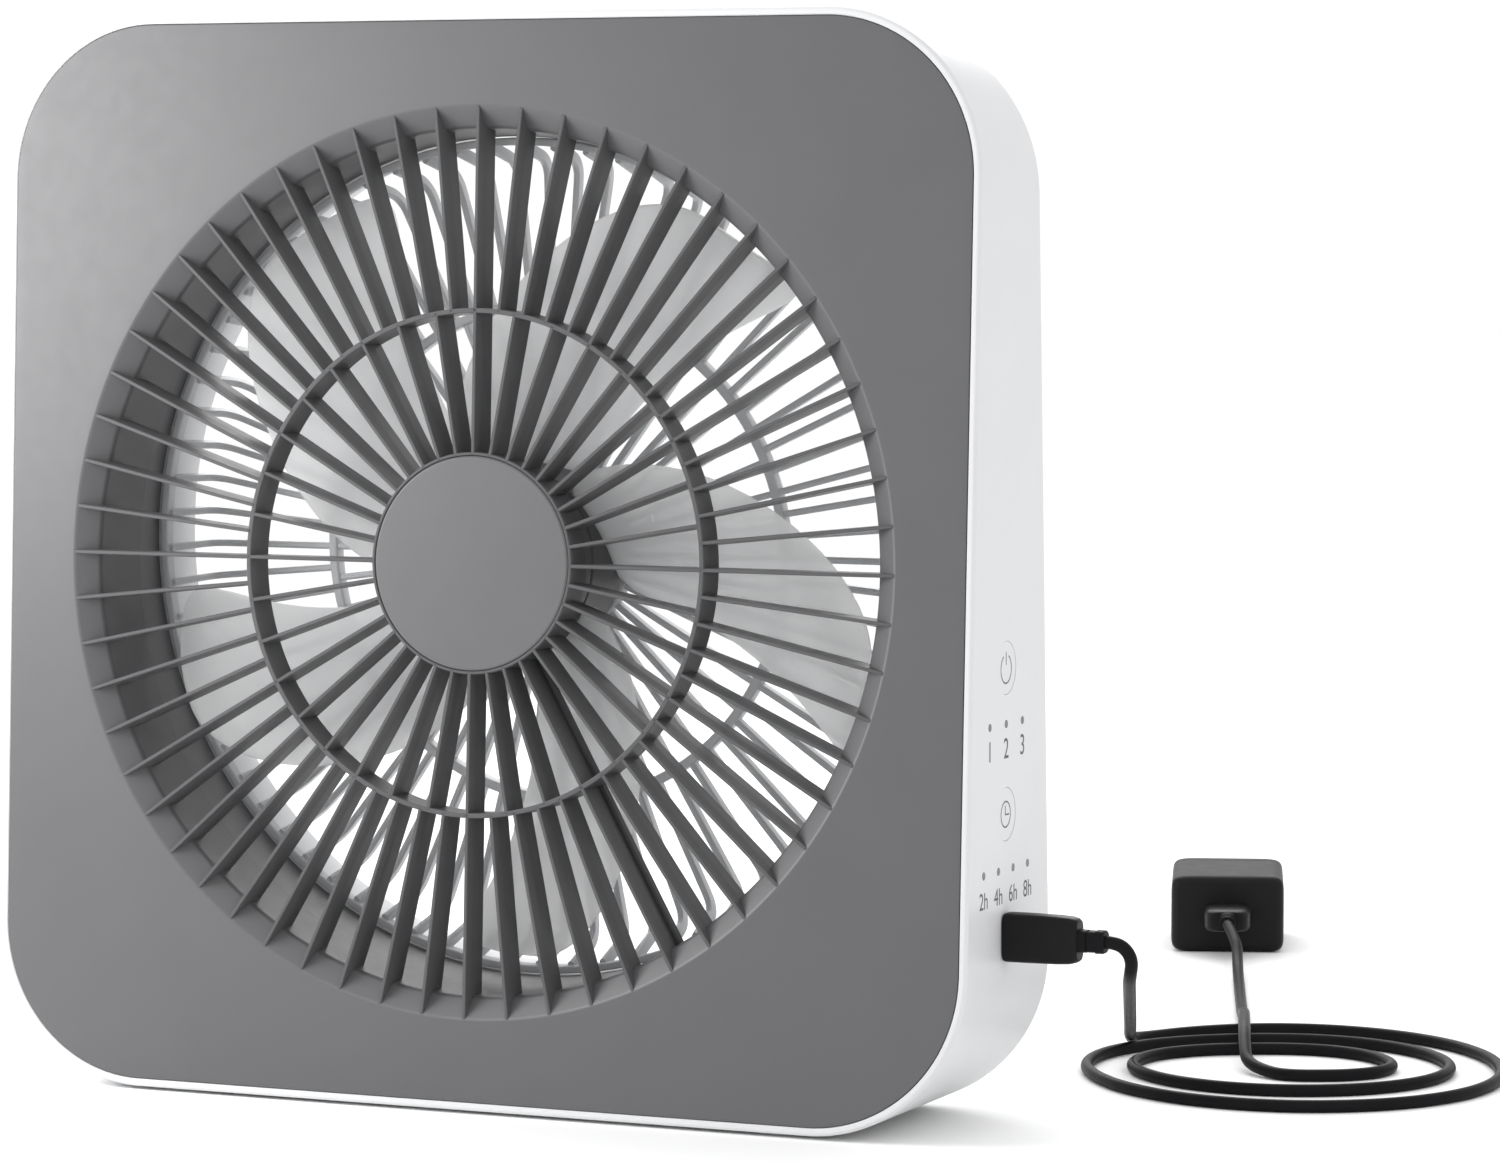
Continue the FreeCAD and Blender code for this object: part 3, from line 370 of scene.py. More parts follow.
class Builder:
    """Collects several closed shells into one mesh."""

    def __init__(self):
        self.points = []
        self.faces = []

    def loft(self, rings, closed=False):
        """Quads between rings of equal length; closed joins the last to the first."""
        start, count = len(self.points), len(rings[0])
        for ring in rings:
            self.points += [tuple(p) for p in ring]
        spans = len(rings) if closed else len(rings) - 1
        for i in range(spans):
            a = start + i * count
            b = start + ((i + 1) % len(rings)) * count
            for k in range(count):
                n = (k + 1) % count
                self.faces.append((a + k, a + n, b + n, b + k))
        if not closed:
            last = start + (len(rings) - 1) * count
            self.faces.append(tuple(range(start, start + count)))
            self.faces.append(tuple(range(last + count - 1, last - 1, -1)))

    def lathe(self, profile, sides):
        """Closed (radius, depth) profile turned about the Y axis."""
        rings = []
        for i in range(sides):
            a = 2 * math.pi * i / sides
            rings.append([(r * math.cos(a), d, r * math.sin(a)) for r, d in profile])
        self.loft(rings, closed=True)

    def build(self, name, place=Matrix(), subdivide=0, weighted=True):
        return mesh_object(name, self.points, self.faces, place, subdivide, weighted)


def rounded(corners, radius, steps=4):
    """Closed outline with its corners rounded; radius is one value or one per corner."""
    radii = radius if isinstance(radius, (list, tuple)) else [radius] * len(corners)
    result = []
    for i, corner in enumerate(corners):
        here = Vector(corner)
        back = Vector(corners[i - 1]) - here
        ahead = Vector(corners[(i + 1) % len(corners)]) - here
        if radii[i] <= 0:
            result.append(tuple(here))
            continue
        opening = back.angle(ahead)
        reach = min(radii[i] / math.tan(opening / 2), 0.49 * min(back.length, ahead.length))
        bend = reach * math.tan(opening / 2)
        middle = here + (back.normalized() + ahead.normalized()).normalized() * (
            bend / math.sin(opening / 2))
        first = here + back.normalized() * reach - middle
        last = here + ahead.normalized() * reach - middle
        sweep = math.pi - opening
        for k in range(steps + 1):
            t = k / steps
            spoke = (first * math.sin((1 - t) * sweep) + last * math.sin(t * sweep)) / math.sin(sweep)
            result.append(tuple(middle + spoke))
    return result


def turn_y(points, degrees):
    """Points turned about +Y, counter-clockwise as seen from the front."""
    c, s = math.cos(math.radians(degrees)), math.sin(math.radians(degrees))
    return [(x * c - z * s, y, x * s + z * c) for x, y, z in points]


def cut(obj, cutters):
    """Takes the cutters out of obj and deletes them."""
    for cutter in cutters:
        step = obj.modifiers.new("cut", "BOOLEAN")
        step.object = cutter
        step.solver = "EXACT"
    bpy.context.view_layer.update()
    evaluated = obj.evaluated_get(bpy.context.evaluated_depsgraph_get())
    mesh = bpy.data.meshes.new_from_object(evaluated)
    obj.modifiers.clear()
    obj.data = mesh
    for cutter in cutters:
        bpy.data.objects.remove(cutter)
    mesh.set_sharp_from_angle(angle=SMOOTH_ANGLE)
    normals = obj.modifiers.new("normals", "WEIGHTED_NORMAL")
    normals.keep_sharp = True
    return obj


# ---------- housing ----------
ANGLES = np.linspace(0, 2 * math.pi, SIDES, endpoint=False)


def outline(height, inset):
    """Rounded outline of a face, as (x, z) about the opening's centre."""
    half_x = WIDTH / 2 - inset
    half_z = height / 2 - inset
    mid_z = height / 2 - FACE_RISE
    radius = CORNER_R - inset
    near, far = np.zeros(SIDES), np.full(SIDES, 300.0)
    for _ in range(40):
        reach = (near + far) / 2
        qx = np.abs(reach * np.cos(ANGLES)) - (half_x - radius)
        qz = np.abs(reach * np.sin(ANGLES) - mid_z) - (half_z - radius)
        outside = (np.hypot(np.maximum(qx, 0), np.maximum(qz, 0))
                   + np.minimum(np.maximum(qx, qz), 0)) > radius
        far = np.where(outside, reach, far)
        near = np.where(outside, near, reach)
    return near * np.cos(ANGLES), near * np.sin(ANGLES)


def placed(matrix, xs, y, zs):
    return [matrix @ Vector((x, y, z)) for x, z in zip(xs, zs)]


def front_ring(inset, depth):
    xs, zs = outline(FRONT_H, inset)
    return placed(FRONT, xs, depth, zs)


def rear_ring(inset, offset):
    xs, zs = outline(REAR_H, inset)
    return placed(REAR, xs, offset, zs)


def circle_ring(matrix, radius, y):
    return placed(matrix, radius * np.cos(ANGLES), y, radius * np.sin(ANGLES))


def along(ring_a, ring_b, share):
    return [a.lerp(b, share) for a, b in zip(ring_a, ring_b)]


def toward(ring_a, ring_b, distance):
    """Ring moved from a towards b by a distance."""
    return [a + (b - a).normalized() * distance for a, b in zip(ring_a, ring_b)]


def bend_rings(start, corner, end, steps):
    """Round bend between two rings, with a third as its corner."""
    weight = math.sqrt(0.5)
    rings = []
    for k in range(steps + 1):
        t = k / steps
        w0, w1, w2 = (1 - t) ** 2, 2 * weight * t * (1 - t), t * t
        total = w0 + w1 + w2
        rings.append([(a * w0 + b * w1 + c * w2) / total for a, b, c in zip(start, corner, end)])
    return rings


def rod_cutter(radius, x0, x1, y, z, sides):
    rings = []
    for x in (x0, x1):
        rings.append([(x, y + radius * math.cos(2 * math.pi * k / sides),
                       z + radius * math.sin(2 * math.pi * k / sides)) for k in range(sides)])
    shape = Builder()
    shape.loft(rings)
    return shape.build("cutter", weighted=False)


def slot_outline(length, width, steps=10):
    """Rounded slot outline, long side second."""
    half, r = length / 2 - width / 2, width / 2
    points = []
    for k in range(steps + 1):
        a = math.pi * k / steps
        points.append((r * math.cos(a), half + r * math.sin(a)))
    for k in range(steps + 1):
        a = math.pi + math.pi * k / steps
        points.append((r * math.cos(a), -half + r * math.sin(a)))
    return points


def light_places():
    speed = [(CONTROL_Y + (i - 1) * SPEED_PITCH, SPEED_LIGHT_Z) for i in range(3)]
    timer = [(CONTROL_Y + (i - 1.5) * TIMER_PITCH, TIMER_LIGHT_Z) for i in range(4)]
    return speed + timer


def build_housing():
    edge_f, edge_r = front_ring(0, 0), rear_ring(0, 0)
    face_f, face_r = front_ring(FRONT_EDGE_R, 0), rear_ring(REAR_EDGE_R, 0)
    in_f, in_r = front_ring(WALL, 0.3), rear_ring(WALL, -REAR_WALL)
    lip_out = LIP_R + LIP_T
    rings = [in_f, front_ring(WALL - 0.3, 0)]
    rings += bend_rings(face_f, edge_f, toward(edge_f, edge_r, FRONT_EDGE_R), 5)
    rings += [along(edge_f, edge_r, s) for s in (0.25, 0.5, 0.75)]
    rings += bend_rings(toward(edge_r, edge_f, REAR_EDGE_R), edge_r, face_r, 8)
    rings += [circle_ring(REAR, LIP_R + 3.0, 0)]
    rings += bend_rings(circle_ring(REAR, LIP_R + 0.8, 0), circle_ring(REAR, LIP_R, 0),
                        circle_ring(REAR, LIP_R, -0.8), 4)
    rings += [circle_ring(REAR, LIP_R, 0.3 - RIM_DEPTH), circle_ring(REAR, LIP_R + 0.3, -RIM_DEPTH),
              circle_ring(REAR, lip_out - 0.3, -RIM_DEPTH), circle_ring(REAR, lip_out, 0.3 - RIM_DEPTH),
              circle_ring(REAR, lip_out, -REAR_WALL), rear_ring(WALL + 4, -REAR_WALL), in_r]
    shape = Builder()
    shape.loft(rings, closed=True)
    shell = shape.build("housing_shell", weighted=False)
    inside = WALL_X - WALL - 2
    cutters = [rod_cutter(BUTTON_HOLE_R, inside, WALL_X + 2, CONTROL_Y, z, 72)
               for z in (POWER_Z, TIMER_Z)]
    cutters += [rod_cutter(LIGHT_HOLE_R, inside, WALL_X + 2, y, z, 24) for y, z in light_places()]
    slot = Builder()
    ring = slot_outline(*SOCKET_SLOT)
    slot.loft([[(x, CONTROL_Y + y, SOCKET_Z + z) for y, z in ring] for x in (inside, WALL_X + 2)])
    cutters.append(slot.build("cutter", weighted=False))
    for sx in (-1, 1):
        for sz in (-1, 1):
            recess = Builder()
            turns = [2 * math.pi * (k + 0.5) / 40 for k in range(40)]
            ring = [(SCREW_HOLE_R * math.cos(a) + sx * POST_OFFSET,
                     SCREW_HOLE_R * math.sin(a) + sz * POST_OFFSET) for a in turns]
            recess.loft([[(x, y, z) for x, z in ring] for y in (-SCREW_SINK, 4.0)])
            cutters.append(recess.build("cutter", REAR, weighted=False))
    cut(shell, cutters)
    finish_piece(shell, WHITE, "housing", ["main_housing"])


def build_front_panel():
    inset = WALL + GAP
    rim = front_ring(inset, 0.35)
    shelf_r = OPENING_R + 2.4
    collar_out = COLLAR_R + COLLAR_WALL
    collar_end = COLLAR_DEPTH + 0.15
    rings = [rim, front_ring(inset + 0.1, 0.1), front_ring(inset + 0.35, 0)]
    rings += [front_ring(inset + 3.0, 0), circle_ring(FRONT, OPENING_R + 2.5, 0)]
    rings += bend_rings(circle_ring(FRONT, OPENING_R + 0.5, 0), circle_ring(FRONT, OPENING_R, 0),
                        circle_ring(FRONT, OPENING_R - 0.5, 0.35), 3)
    rings += bend_rings(circle_ring(FRONT, COLLAR_R + 0.9, FLARE_DEPTH - 0.62),
                        circle_ring(FRONT, COLLAR_R, FLARE_DEPTH),
                        circle_ring(FRONT, COLLAR_R - 0.06, FLARE_DEPTH + 1.1), 3)
    rings += [circle_ring(FRONT, COLLAR_BACK_R, collar_end),
              circle_ring(FRONT, collar_out, collar_end),
              circle_ring(FRONT, collar_out, FLARE_DEPTH + 3.6),
              circle_ring(FRONT, shelf_r, PANEL_T), front_ring(inset, PANEL_T)]
    shape = Builder()
    shape.loft(rings, closed=True)
    panel = shape.build("face_plate")
    finish_piece(panel, GREY_FACE, "housing", ["front_panel"])


def build_air_duct():
    """Grey ring from the end of the collar to the rim of the rear guard."""
    inner, outer = COLLAR_BACK_R, COLLAR_BACK_R + DUCT_WALL
    front, back = COLLAR_DEPTH + DUCT_GAP, -RIM_DEPTH - DUCT_GAP
    shape = Builder()
    shape.loft([circle_ring(FRONT, inner, front), circle_ring(REAR, inner, back),
                circle_ring(REAR, outer, back), circle_ring(FRONT, outer, front)], closed=True)
    duct = shape.build("air_ring", weighted=False)
    finish_piece(duct, GREY_FACE, "housing", ["air_duct"])


# ---------- front grille ----------
def flare_radius(depth):
    """Radius at which a rib runs into the flared opening and its collar."""
    wall = COLLAR_R + 0.3
    if depth >= FLARE_DEPTH:
        return wall - (COLLAR_R - COLLAR_BACK_R) * (depth - FLARE_DEPTH) / (COLLAR_DEPTH - FLARE_DEPTH)
    return wall + (OPENING_R - wall - 0.1) * (1 - depth / FLARE_DEPTH)


# closed outline of a rib as (depth, offset across), starting at its front edge
RIB_SECTION = [(0.0, -0.34), (0.18, -0.5), (4.0, -0.7), (4.3, -0.72), (5.9, -0.72), (10.3, -0.45),
               (10.5, -0.28), (10.5, 0.28), (10.3, 0.45), (5.9, 0.72), (4.3, 0.72), (4.0, 0.7),
               (0.18, 0.5), (0.0, 0.34)]


def build_front_grille():
    shape = Builder()
    inner = RING_R - RING_T / 2
    for i in range(OUTER_RIBS):
        rings = [[(inner, d, t) for d, t in RIB_SECTION],
                 [(COLLAR_R - 3.0, d, t) for d, t in RIB_SECTION],
                 [(flare_radius(d), d, t) for d, t in RIB_SECTION]]
        shape.loft([turn_y(ring, FIRST_RIB + i * 360 / OUTER_RIBS) for ring in rings])
    for i in range(INNER_RIBS):
        rings = [[(r, d, t) for d, t in RIB_SECTION] for r in (HUB_R - 0.6, inner)]
        shape.loft([turn_y(ring, FIRST_RIB + i * 360 / INNER_RIBS) for ring in rings])
    shape.lathe(rounded([(RING_R - RING_T, 0), (RING_R, 0), (RING_R, GRILLE_DEPTH),
                         (RING_R - RING_T, GRILLE_DEPTH)], 0.3, 3), 180)
    wall = HUB_R - 0.9
    shape.lathe(rounded([(wall, 0), (HUB_R, 0), (HUB_R, GRILLE_DEPTH), (0.01, GRILLE_DEPTH),
                         (0.01, 8.0), (HUB_R - 2.6, 8.0), (HUB_R - 2.6, 2.4), (wall, 2.4)],
                        [0.3, 0.4, 0.4, 0, 0, 0, 0, 0], 3), 160)
    grille = shape.build("front_guard", FRONT)
    finish_piece(grille, GREY_RIB, "housing", ["front_grille"])


def build_hub_cap():
    edge = HUB_R - 1.05
    shape = Builder()
    shape.lathe(rounded([(0.01, -0.35), (18.0, -0.3), (edge - 0.5, -0.12), (edge, 0.25), (edge, 2.35),
                         (edge - 1.6, 2.35), (edge - 1.6, 4.4), (edge - 2.9, 4.4), (edge - 2.9, 1.8),
                         (0.01, 1.8)], [0, 0, 0.4, 0.25, 0, 0, 0, 0, 0, 0], 4), 200)
    cap = shape.build("hub_cover", FRONT)
    finish_piece(cap, GREY_CAP, "housing", ["hub_cap"])


# ---------- rear guard ----------
def swept_bar(shape, path, widths, depths, angle):
    """Rounded bar along a (radius, depth) path in one radial plane."""
    rings = []
    for i, (r, d) in enumerate(path):
        before = Vector(path[max(i - 1, 0)])
        after = Vector(path[min(i + 1, len(path) - 1)])
        way = (after - before).normalized()
        side = Vector((-way.y, way.x))
        ring = []
        for k in range(10):
            a = 2 * math.pi * (k + 0.5) / 10
            u = max(-1, min(1, 1.25 * math.cos(a))) * depths / 2
            v = max(-1, min(1, 1.25 * math.sin(a))) * widths / 2
            spot = Vector((r, d)) + side * u
            ring.append((spot.x, spot.y, v))
        rings.append(turn_y(ring, angle))
    shape.loft(rings)


def square_ring(r_in, r_out, y0, y1):
    """Section of a ring, as (radius, depth) corners."""
    return [(r_in, y0), (r_out, y0), (r_out, y1), (r_in, y1)]


def build_rear_guard():
    mid = BAR_TOP - BAR_DEPTH / 2
    outer = [(REAR_RING_R - 1.4, mid), (92.0, mid), (REAR_FLAT_R, mid)]
    for k in range(1, 8):
        a = math.radians(72 * k / 7)
        outer.append((REAR_FLAT_R + 1 + BEND_R * math.sin(a), mid - BEND_R * (1 - math.cos(a))))
    outer.append((REAR_RIM_R - 1.6, -RIM_DEPTH + 2.0))
    inner = [(REAR_DISC_R - 1, mid), (48.0, mid), (REAR_RING_R - 1.4, mid)]
    shape = Builder()
    for path, count in ((outer, REAR_OUTER_BARS), (inner, REAR_INNER_BARS)):
        for i in range(count):
            swept_bar(shape, path, REAR_BAR_W, REAR_BAR_THICK, i * 360 / count)
    rim = square_ring(REAR_RIM_R - 2.2, REAR_RIM_R, -RIM_DEPTH, -RIM_DEPTH + 4)
    shape.lathe(rounded(rim, 0.5, 3), 220)
    ring = square_ring(REAR_RING_R - 2.8, REAR_RING_R, BAR_UNDER - 0.3, BAR_TOP + 0.3)
    shape.lathe(rounded(ring, 0.7, 3), 180)
    disc = [(0.01, BAR_TOP + 0.3), (0.01, -3.4), (REAR_DISC_R - 2, -3.4),
            (REAR_DISC_R - 2, BAR_UNDER - 1), (REAR_DISC_R, BAR_UNDER - 1), (REAR_DISC_R, BAR_TOP + 0.3)]
    shape.lathe(rounded(disc, [0, 0, 0.3, 0.4, 0.6, 1.0], 3), 120)
    guard = shape.build("rear_guard", REAR)
    # the rear guard's greyer white is painted shade on the housing's white plastic
    finish_piece(guard, SHADED_GUARD_WHITE, "housing", ["rear_grille", "rear_grille_rim"])


# ---------- impeller ----------
# from root to tip: radius, chord, depth of the two edges, thickness in BLADE_T
BLADE_STATIONS = [(23, 33.0, 21.0, 43.0, 1.4), (30, 37, 21, 43, 1.25), (38, 41, 21, 43, 1.15),
                  (46, 44.5, 21, 43, 1.1), (56, 47.5, 21, 43, 1.05), (68, 50, 21, 43, 1.0),
                  (80, 51, 21, 43, 1.0), (90, 51, 21, 43, 0.97), (98, 50, 21.2, 42.7, 0.95),
                  (104, 47.2, 21.6, 41.9, 0.92), (108.2, 42.5, 22.3, 40.4, 0.88),
                  (110.8, 36.5, 23.4, 38.6, 0.8), (112.2, 29, 24.8, 36.6, 0.6), (112.7, 22, 26, 35, 0.2)]


def blade_ring(radius, chord, front, back, thick):
    """Section of the lower-left blade, square to its middle line."""
    a = math.radians(ROOT_ANGLE + SWEEP * (radius - SWEEP_START_R))
    out = Vector((math.cos(a), 0, math.sin(a)))
    across = Vector((-math.sin(a), 0, math.cos(a)))
    steps = 14
    faces = ([], [])
    for i in range(steps + 1):
        t = (1 - math.cos(math.pi * i / steps)) / 2
        arch = max(0.0, 4 * t * (1 - t))
        half = thick * BLADE_T * (0.12 + 0.42 * math.sqrt(arch) ** 0.8) * 0.8
        depth = front + (back - front) * t - BLADE_CAMBER * arch
        middle = out * radius + across * (chord * (0.5 - t)) + Vector((0, depth, 0))
        faces[0].append(middle - Vector((0, half, 0)))
        faces[1].append(middle + Vector((0, half, 0)))
    return faces[0] + faces[1][::-1]


def build_impeller():
    shape = Builder()
    rings = [blade_ring(r, c, f, b, t) for r, c, f, b, t in BLADE_STATIONS]
    for i in range(BLADE_COUNT):
        shape.loft([turn_y(ring, 360 / BLADE_COUNT * i) for ring in rings])
    blades = shape.build("impeller_blades", AXLE, subdivide=1)
    finish_piece(blades, BLADE, "rotor", ["impeller"])
    hub = Builder()
    edge, inside = IMPELLER_HUB_R, IMPELLER_HUB_R - IMPELLER_HUB_WALL
    hub.lathe(rounded([(inside, 21.5), (edge, 21.5), (edge, 42.0), (edge - 3, 44.6), (9.5, 44.6), (9.5, 44.2),
                       (2.1, 44.2), (2.1, 42.4), (inside, 41.8)],
                      [0.3, 0.5, 1.2, 1.2, 0.2, 0.2, 0, 0, 0], 4), 160)
    body = hub.build("impeller_hub", AXLE)
    finish_piece(body, DARK, "rotor", ["impeller"])


# ---------- controls ----------
def wall_strip(shape, path, width):
    """Flat printed stroke on the right wall along (y, z) points."""
    left, right = [], []
    for i, (y, z) in enumerate(path):
        before = Vector(path[max(i - 1, 0)])
        after = Vector(path[min(i + 1, len(path) - 1)])
        way = (after - before).normalized()
        left.append((y - way.y * width / 2, z + way.x * width / 2))
        right.append((y + way.y * width / 2, z - way.x * width / 2))
    x0, x1 = WALL_X - 0.1, WALL_X - 0.1 + SKIN
    for k in range(len(path) - 1):
        ring = [left[k], left[k + 1], right[k + 1], right[k]]
        shape.loft([[(x0 - 0.05, y, z) for y, z in ring], [(x1, y, z) for y, z in ring]])


def arc_path(y, z, radius, start, end, steps=40):
    return [(y + radius * math.cos(math.radians(start + (end - start) * k / steps)),
             z + radius * math.sin(math.radians(start + (end - start) * k / steps)))
            for k in range(steps + 1)]


def build_button(name, z, body, node, marks):
    face = WALL_X - 0.1
    shape = Builder()
    profile = rounded([(0.01, 0), (BUTTON_R, 0), (BUTTON_R, -BUTTON_DEPTH), (0.01, -BUTTON_DEPTH)],
                      [0, 0.12, 0, 0], 4)
    turned_to_x = Matrix.Translation((face, CONTROL_Y, z)) @ Matrix.Rotation(math.radians(-90), 4, "Z")
    shape.lathe(profile, 120)
    disc = shape.build(name, turned_to_x)
    finish_piece(disc, WHITE, body, [node])
    strokes = Builder()
    for path in marks:
        wall_strip(strokes, path, STROKE_W)
    symbol = strokes.build(name + "_symbol")
    finish_piece(symbol, PRINT, body)


def build_text(name, words, y, z, height):
    data = bpy.data.curves.new(name, "FONT")
    data.body = words
    data.size = height * 1.38 * MM
    data.align_x = "CENTER"
    data.align_y = "CENTER"
    data.extrude = SKIN * MM
    letters = bpy.data.objects.new(name, data)
    bpy.context.scene.collection.objects.link(letters)
    basis = Matrix(((0, 0, 1, 0), (1, 0, 0, 0), (0, 1, 0, 0), (0, 0, 0, 1)))
    letters.matrix_world = Matrix.Translation(Vector((WALL_X, y, z)) * MM) @ basis
    bpy.context.view_layer.update()
    evaluated = letters.evaluated_get(bpy.context.evaluated_depsgraph_get())
    mesh = bpy.data.meshes.new_from_object(evaluated)
    mesh.transform(letters.matrix_world)
    bpy.data.objects.remove(letters)
    printed = bpy.data.objects.new(name, mesh)
    bpy.context.scene.collection.objects.link(printed)
    finish_piece(printed, PRINT, "housing")


def build_controls():
    y = CONTROL_Y
    power_marks = [arc_path(y, POWER_Z - 0.3, POWER_SYMBOL_R, 118, 422),
                   [(y, POWER_Z + 0.8), (y, POWER_Z + 2.6), (y, POWER_Z + 4.3)]]
    timer_marks = [arc_path(y, TIMER_Z, TIMER_SYMBOL_R, 0, 360),
                   [(y - 0.3, TIMER_Z + 2.4), (y - 0.3, TIMER_Z + 1.1), (y - 0.3, TIMER_Z - 0.1)],
                   [(y - 0.3, TIMER_Z - 0.1), (y + 1.1, TIMER_Z - 0.1), (y + 2.5, TIMER_Z - 0.1)]]
    build_button("power_key", POWER_Z, "power_key", "power_button", power_marks)
    build_button("timer_key", TIMER_Z, "timer_key", "timer_button", timer_marks)
    for i, digit in enumerate("123"):
        build_text("speed_number_" + digit, digit, y + (i - 1) * SPEED_PITCH,
                   SPEED_LIGHT_Z - SPEED_DIGIT_DROP, SPEED_DIGIT_H)
    for i, hours in enumerate("2468"):
        build_text("timer_label_" + hours, hours + "h", y + (i - 1.5) * TIMER_PITCH,
                   TIMER_LIGHT_Z - TIMER_LABEL_DROP, TIMER_LABEL_H)


# ---------- power lead ----------
COIL_RADII = [71.0, 60.0, 72.5, 59.5, 50.0, 46.0, 45.0, 46.5, 31.0, 29.5, 18.0]   # per quarter turn


def coil_point(radius, angle):
    a = math.radians(angle + COIL_SWING)
    return COIL_CENTRE + Vector((radius * math.cos(a), radius * math.sin(a), CORD_R))


def coil_points():
    """Three loose turns, clockwise from above, drawing in towards the middle."""
    knots = [COIL_START] + [(r, 90 - 90 * i) for i, r in enumerate(COIL_RADII)]
    knots.append((COIL_END[0], COIL_END[1] - 720))
    step = 22.5
    points = []
    angle = COIL_START[1]
    while angle >= knots[-1][1] - 1e-6:
        for (r0, a0), (r1, a1) in zip(knots, knots[1:]):
            if a1 <= angle <= a0:
                t = (a0 - angle) / (a0 - a1)
                ease = t * t * (3 - 2 * t)
                radius = r0 + (r1 - r0) * ease
                points.append(coil_point(radius / math.cos(math.radians(step / 2)), angle))
                break
        angle -= step
    return points


def cord_points():
    drop = [(PLUG_X + PLUG_LEN + BOOT_LEN, CONTROL_Y, SOCKET_Z), (182.3, -4.6, 54.2), (184.9, -3.8, 52.1),
            (185.6, -2.2, 49.0), (184.1, 0.8, 45.3), (181.0, 8.5, 41.9), (175.0, 25.5, 36.8),
            (164.4, 55.3, 28.2), (153.8, 85.1, 20.0), (143.6, 113.8, 12.6), (136.6, 133.0, 7.9),
            (131.8, 147.0, 4.4)]
    tail = [(177.4, 120.6, 3.0), (173.4, 130.0, 6.0), (169.6, 141.0, 8.8), (163.8, 158.0, 9.4),
            (158.0, 175.0, 9.0), (152.2, 192.0, 6.6), (145.6, 211.0, 2.4), (138.4, 231.0, CORD_R),
            (117.5, 290.0, CORD_R), (110.4, 310.0, 4.4), (106.0, 322.4, 9.6), tuple(TAIL_END)]
    return [Vector(p) for p in drop] + coil_points() + [Vector(p) for p in tail]


def build_cord():
    data = bpy.data.curves.new("power_lead", "CURVE")
    data.dimensions = "3D"
    data.bevel_depth = CORD_R * MM
    data.bevel_resolution = 8
    data.resolution_u = 10
    data.use_fill_caps = True
    route = cord_points()
    spline = data.splines.new("NURBS")
    spline.points.add(len(route) - 1)
    for point, spot in zip(spline.points, route):
        point.co = (*(spot * MM), 1)
    spline.order_u = 3
    spline.use_endpoint_u = True
    cord = bpy.data.objects.new("power_lead", data)
    bpy.context.scene.collection.objects.link(cord)
    finish_piece(cord, RUBBER, "housing", ["cord_drop", "cord_coil", "cord_tail"])
    return cord, route


def superellipse(width, height, power, count):
    """Outline between an ellipse (power 2) and a rectangle (high power)."""
    points = []
    for k in range(count):
        a = 2 * math.pi * k / count
        c, s = math.cos(a), math.sin(a)
        points.append((width / 2 * math.copysign(abs(c) ** (2 / power), c),
                       height / 2 * math.copysign(abs(s) ** (2 / power), s)))
    return points


def lofted(name, sections, place, count=40, weighted=True):
    """Body through (station, width, height, power) sections along its own Y axis."""
    shape = Builder()
    shape.loft([[(x, y, z) for x, z in superellipse(w, h, p, count)] for y, w, h, p in sections])
    return shape.build(name, place, weighted=weighted)


def slab_cutter(x0, x1, y0, y1, half_z):
    """Straight block for a cut in the adapter, in the frame of the lead's far end."""
    shape = Builder()
    shape.loft([[(x0, y, -half_z), (x1, y, -half_z), (x1, y, half_z), (x0, y, half_z)] for y in (y0, y1)])
    return shape.build("cutter", TAIL, weighted=False)


def build_side_plug():
    """Flat overmoulded plug on its long side, with a ribbed boot."""
    place = Matrix.Translation((PLUG_X, CONTROL_Y, SOCKET_Z)) @ Matrix.Rotation(math.radians(-90), 4, "Z")
    end = PLUG_LEN
    sections = [(0, 7.0, 12.6, 5), (0.25, 7.5, 13.1, 5), (0.8, 7.8, 13.4, 5), (6, 7.8, 13.4, 5),
                (end - 6, 7.7, 13.2, 5), (end - 2.4, 7.5, 12.8, 4.5), (end - 0.8, 7.0, 12.0, 4),
                (end - 0.2, 6.2, 11.0, 4), (end, 5.4, 10.0, 4)]
    body = lofted("side_plug", sections, place)
    finish_piece(body, BLACK, "housing", ["power_plug"])
    sections = [(-0.4, 6.2, 6.3), (2.3, 6.0, 6.1), (2.4, 5.2, 5.3), (2.9, 5.2, 5.3), (3.0, 5.9, 6.0),
                (4.9, 5.8, 5.9), (5.0, 6.3, 6.4), (6.9, 6.2, 6.3), (7.2, 5.9, 6.0), (BOOT_LEN, 5.0, 5.1)]
    boot = lofted("side_plug_boot", [(end + y, w, h, 3.2) for y, w, h in sections], place)
    finish_piece(boot, RUBBER, "housing", ["power_plug_boot"])
    return body, boot


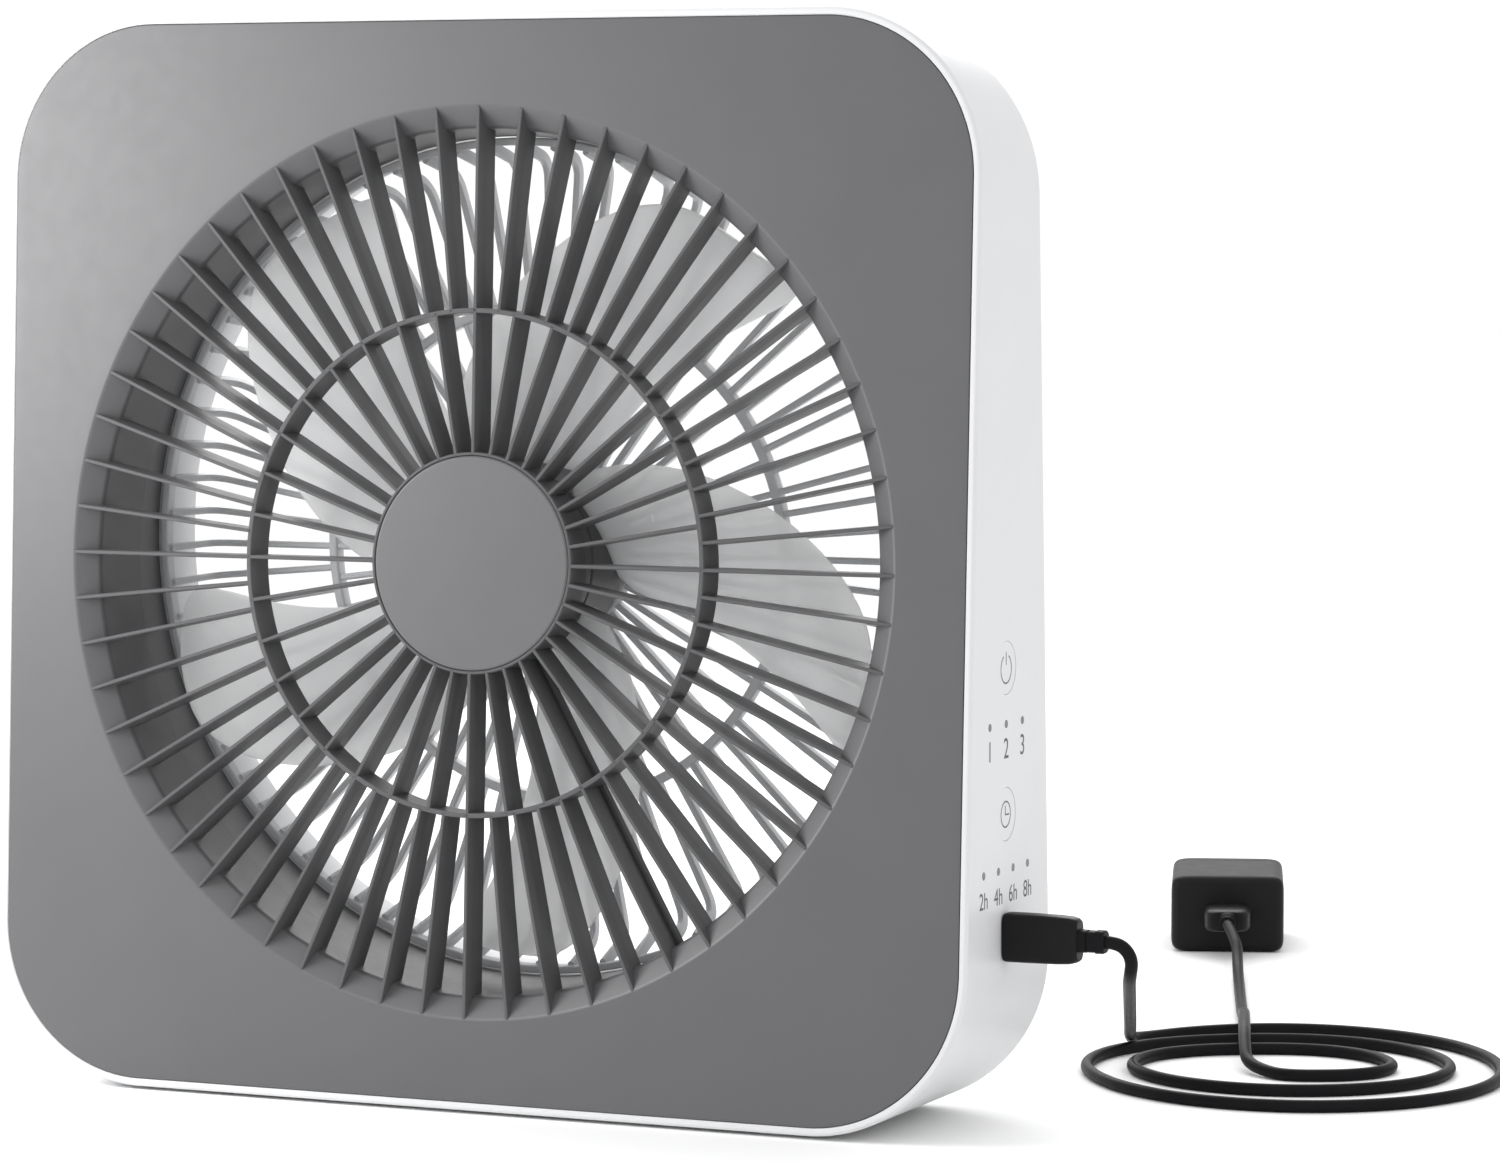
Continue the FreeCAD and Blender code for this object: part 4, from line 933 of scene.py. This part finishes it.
def build_far_plug():
    """Plug at the adapter's end of the lead, and its ribbed boot."""
    sections = [(0, 4.6, 4.6, 2.2), (0.15, 5.1, 5.1, 2.2), (1.4, 5.3, 5.3, 2.2), (1.6, 4.6, 4.6, 2.2),
                (2.1, 4.6, 4.6, 2.2), (2.3, 5.6, 5.6, 2.3), (3.6, 5.8, 5.8, 2.3), (3.8, 5.0, 5.0, 2.3),
                (4.3, 5.0, 5.0, 2.3), (4.5, 6.1, 6.0, 2.5), (USB_BOOT_LEN + 0.3, 6.4, 6.3, 2.6)]
    boot = lofted("usb_boot", sections, TAIL)
    finish_piece(boot, RUBBER, "housing", ["usb_plug_boot"])
    y0, y1 = USB_BOOT_LEN, USB_BOOT_LEN + USB_BODY_LEN
    sections = [(y0, 10.0, 5.6, 4), (y0 + 0.2, 11.6, 6.4, 4), (y0 + 1.2, 13.6, 7.2, 4.5),
                (y0 + 3.4, 15.0, 7.7, 5), (y0 + 6, 15.6, 7.8, 5), (y1 - 1, 15.6, 7.8, 5),
                (y1 - 0.2, 15.4, 7.6, 5), (y1, 15.0, 7.2, 5)]
    plug = lofted("usb_plug_body", sections, TAIL)
    finish_piece(plug, BLACK, "housing", ["usb_plug"])
    return boot, plug


def build_adapter():
    """Case with rounded ends, a seam, a port and two slits for the blades."""
    a0 = USB_BOOT_LEN + USB_BODY_LEN + 0.2
    a1 = a0 + ADAPTER_L
    rounding = [(0, 5.4), (0.25, 3.6), (0.9, 1.8), (1.9, 0.6), (3.2, 0)]   # from the end, less width
    seam = [(9.0, 0), (8.9, 0.35), (8.5, 0.35), (8.4, 0)]
    steps = [(a0 + y, less) for y, less in rounding]
    steps += [(a1 - y, less) for y, less in seam + rounding[::-1]]
    sections = [(y, ADAPTER_W - less, ADAPTER_T - less, 9) for y, less in steps]
    case = lofted("adapter_body", sections, TAIL, 96, weighted=False)
    cutters = [slab_cutter(-6.6, 6.6, a0 - 2, a0 + 14, 2.9)]
    cutters += [slab_cutter(x - 3.3, x + 3.3, a1 - 3, a1 + 2, 0.8)
                for x in (-BLADE_PITCH / 2, BLADE_PITCH / 2)]
    cut(case, cutters)
    finish_piece(case, BLACK_GRAIN, "housing", ["adapter_case"])


# ---------- studio ----------
# name, place and aim in metres, size, power
LIGHTS = [("key", (-0.37, -0.27, 0.29), (-0.1, 0.0, 0.17), 0.25, 2.1),
          ("back", (-0.35, 0.95, 0.8), (0.0, 0.0, 0.15), 0.8, 6.0),
          ("top", (0.2, 0.2, 2.6), (0.1, 0.1, 0.0), 2.6, 5.0)]


def build_studio():
    corners = [(-6000, -6000, 0), (6000, -6000, 0), (6000, 9000, 0), (-6000, 9000, 0)]
    floor = mesh_object("floor", corners, [(0, 1, 2, 3)], weighted=False)
    paint(floor, plastic("pale_floor", (0.98, 0.98, 0.98), 0.8, 0.005, specular=0.2))
    world = bpy.data.worlds.new("studio")
    bpy.context.scene.world = world
    world.use_nodes = True
    background = world.node_tree.nodes["Background"]
    background.inputs["Color"].default_value = (1, 1, 1, 1)
    background.inputs["Strength"].default_value = 1.04
    for name, spot, aim, size, power in LIGHTS:
        data = bpy.data.lights.new(name, "AREA")
        data.size = size
        data.energy = power
        lamp = bpy.data.objects.new(name, data)
        bpy.context.scene.collection.objects.link(lamp)
        lamp.location = spot
        lamp.rotation_euler = (Vector(aim) - Vector(spot)).to_track_quat("-Z", "Y").to_euler()


build_housing()
build_front_panel()
build_air_duct()
build_front_grille()
build_hub_cap()
build_rear_guard()
build_impeller()
build_controls()
plug, boot = build_side_plug()
lead, route = build_cord()
usb_boot, usb_plug = build_far_plug()
build_adapter()
build_studio()
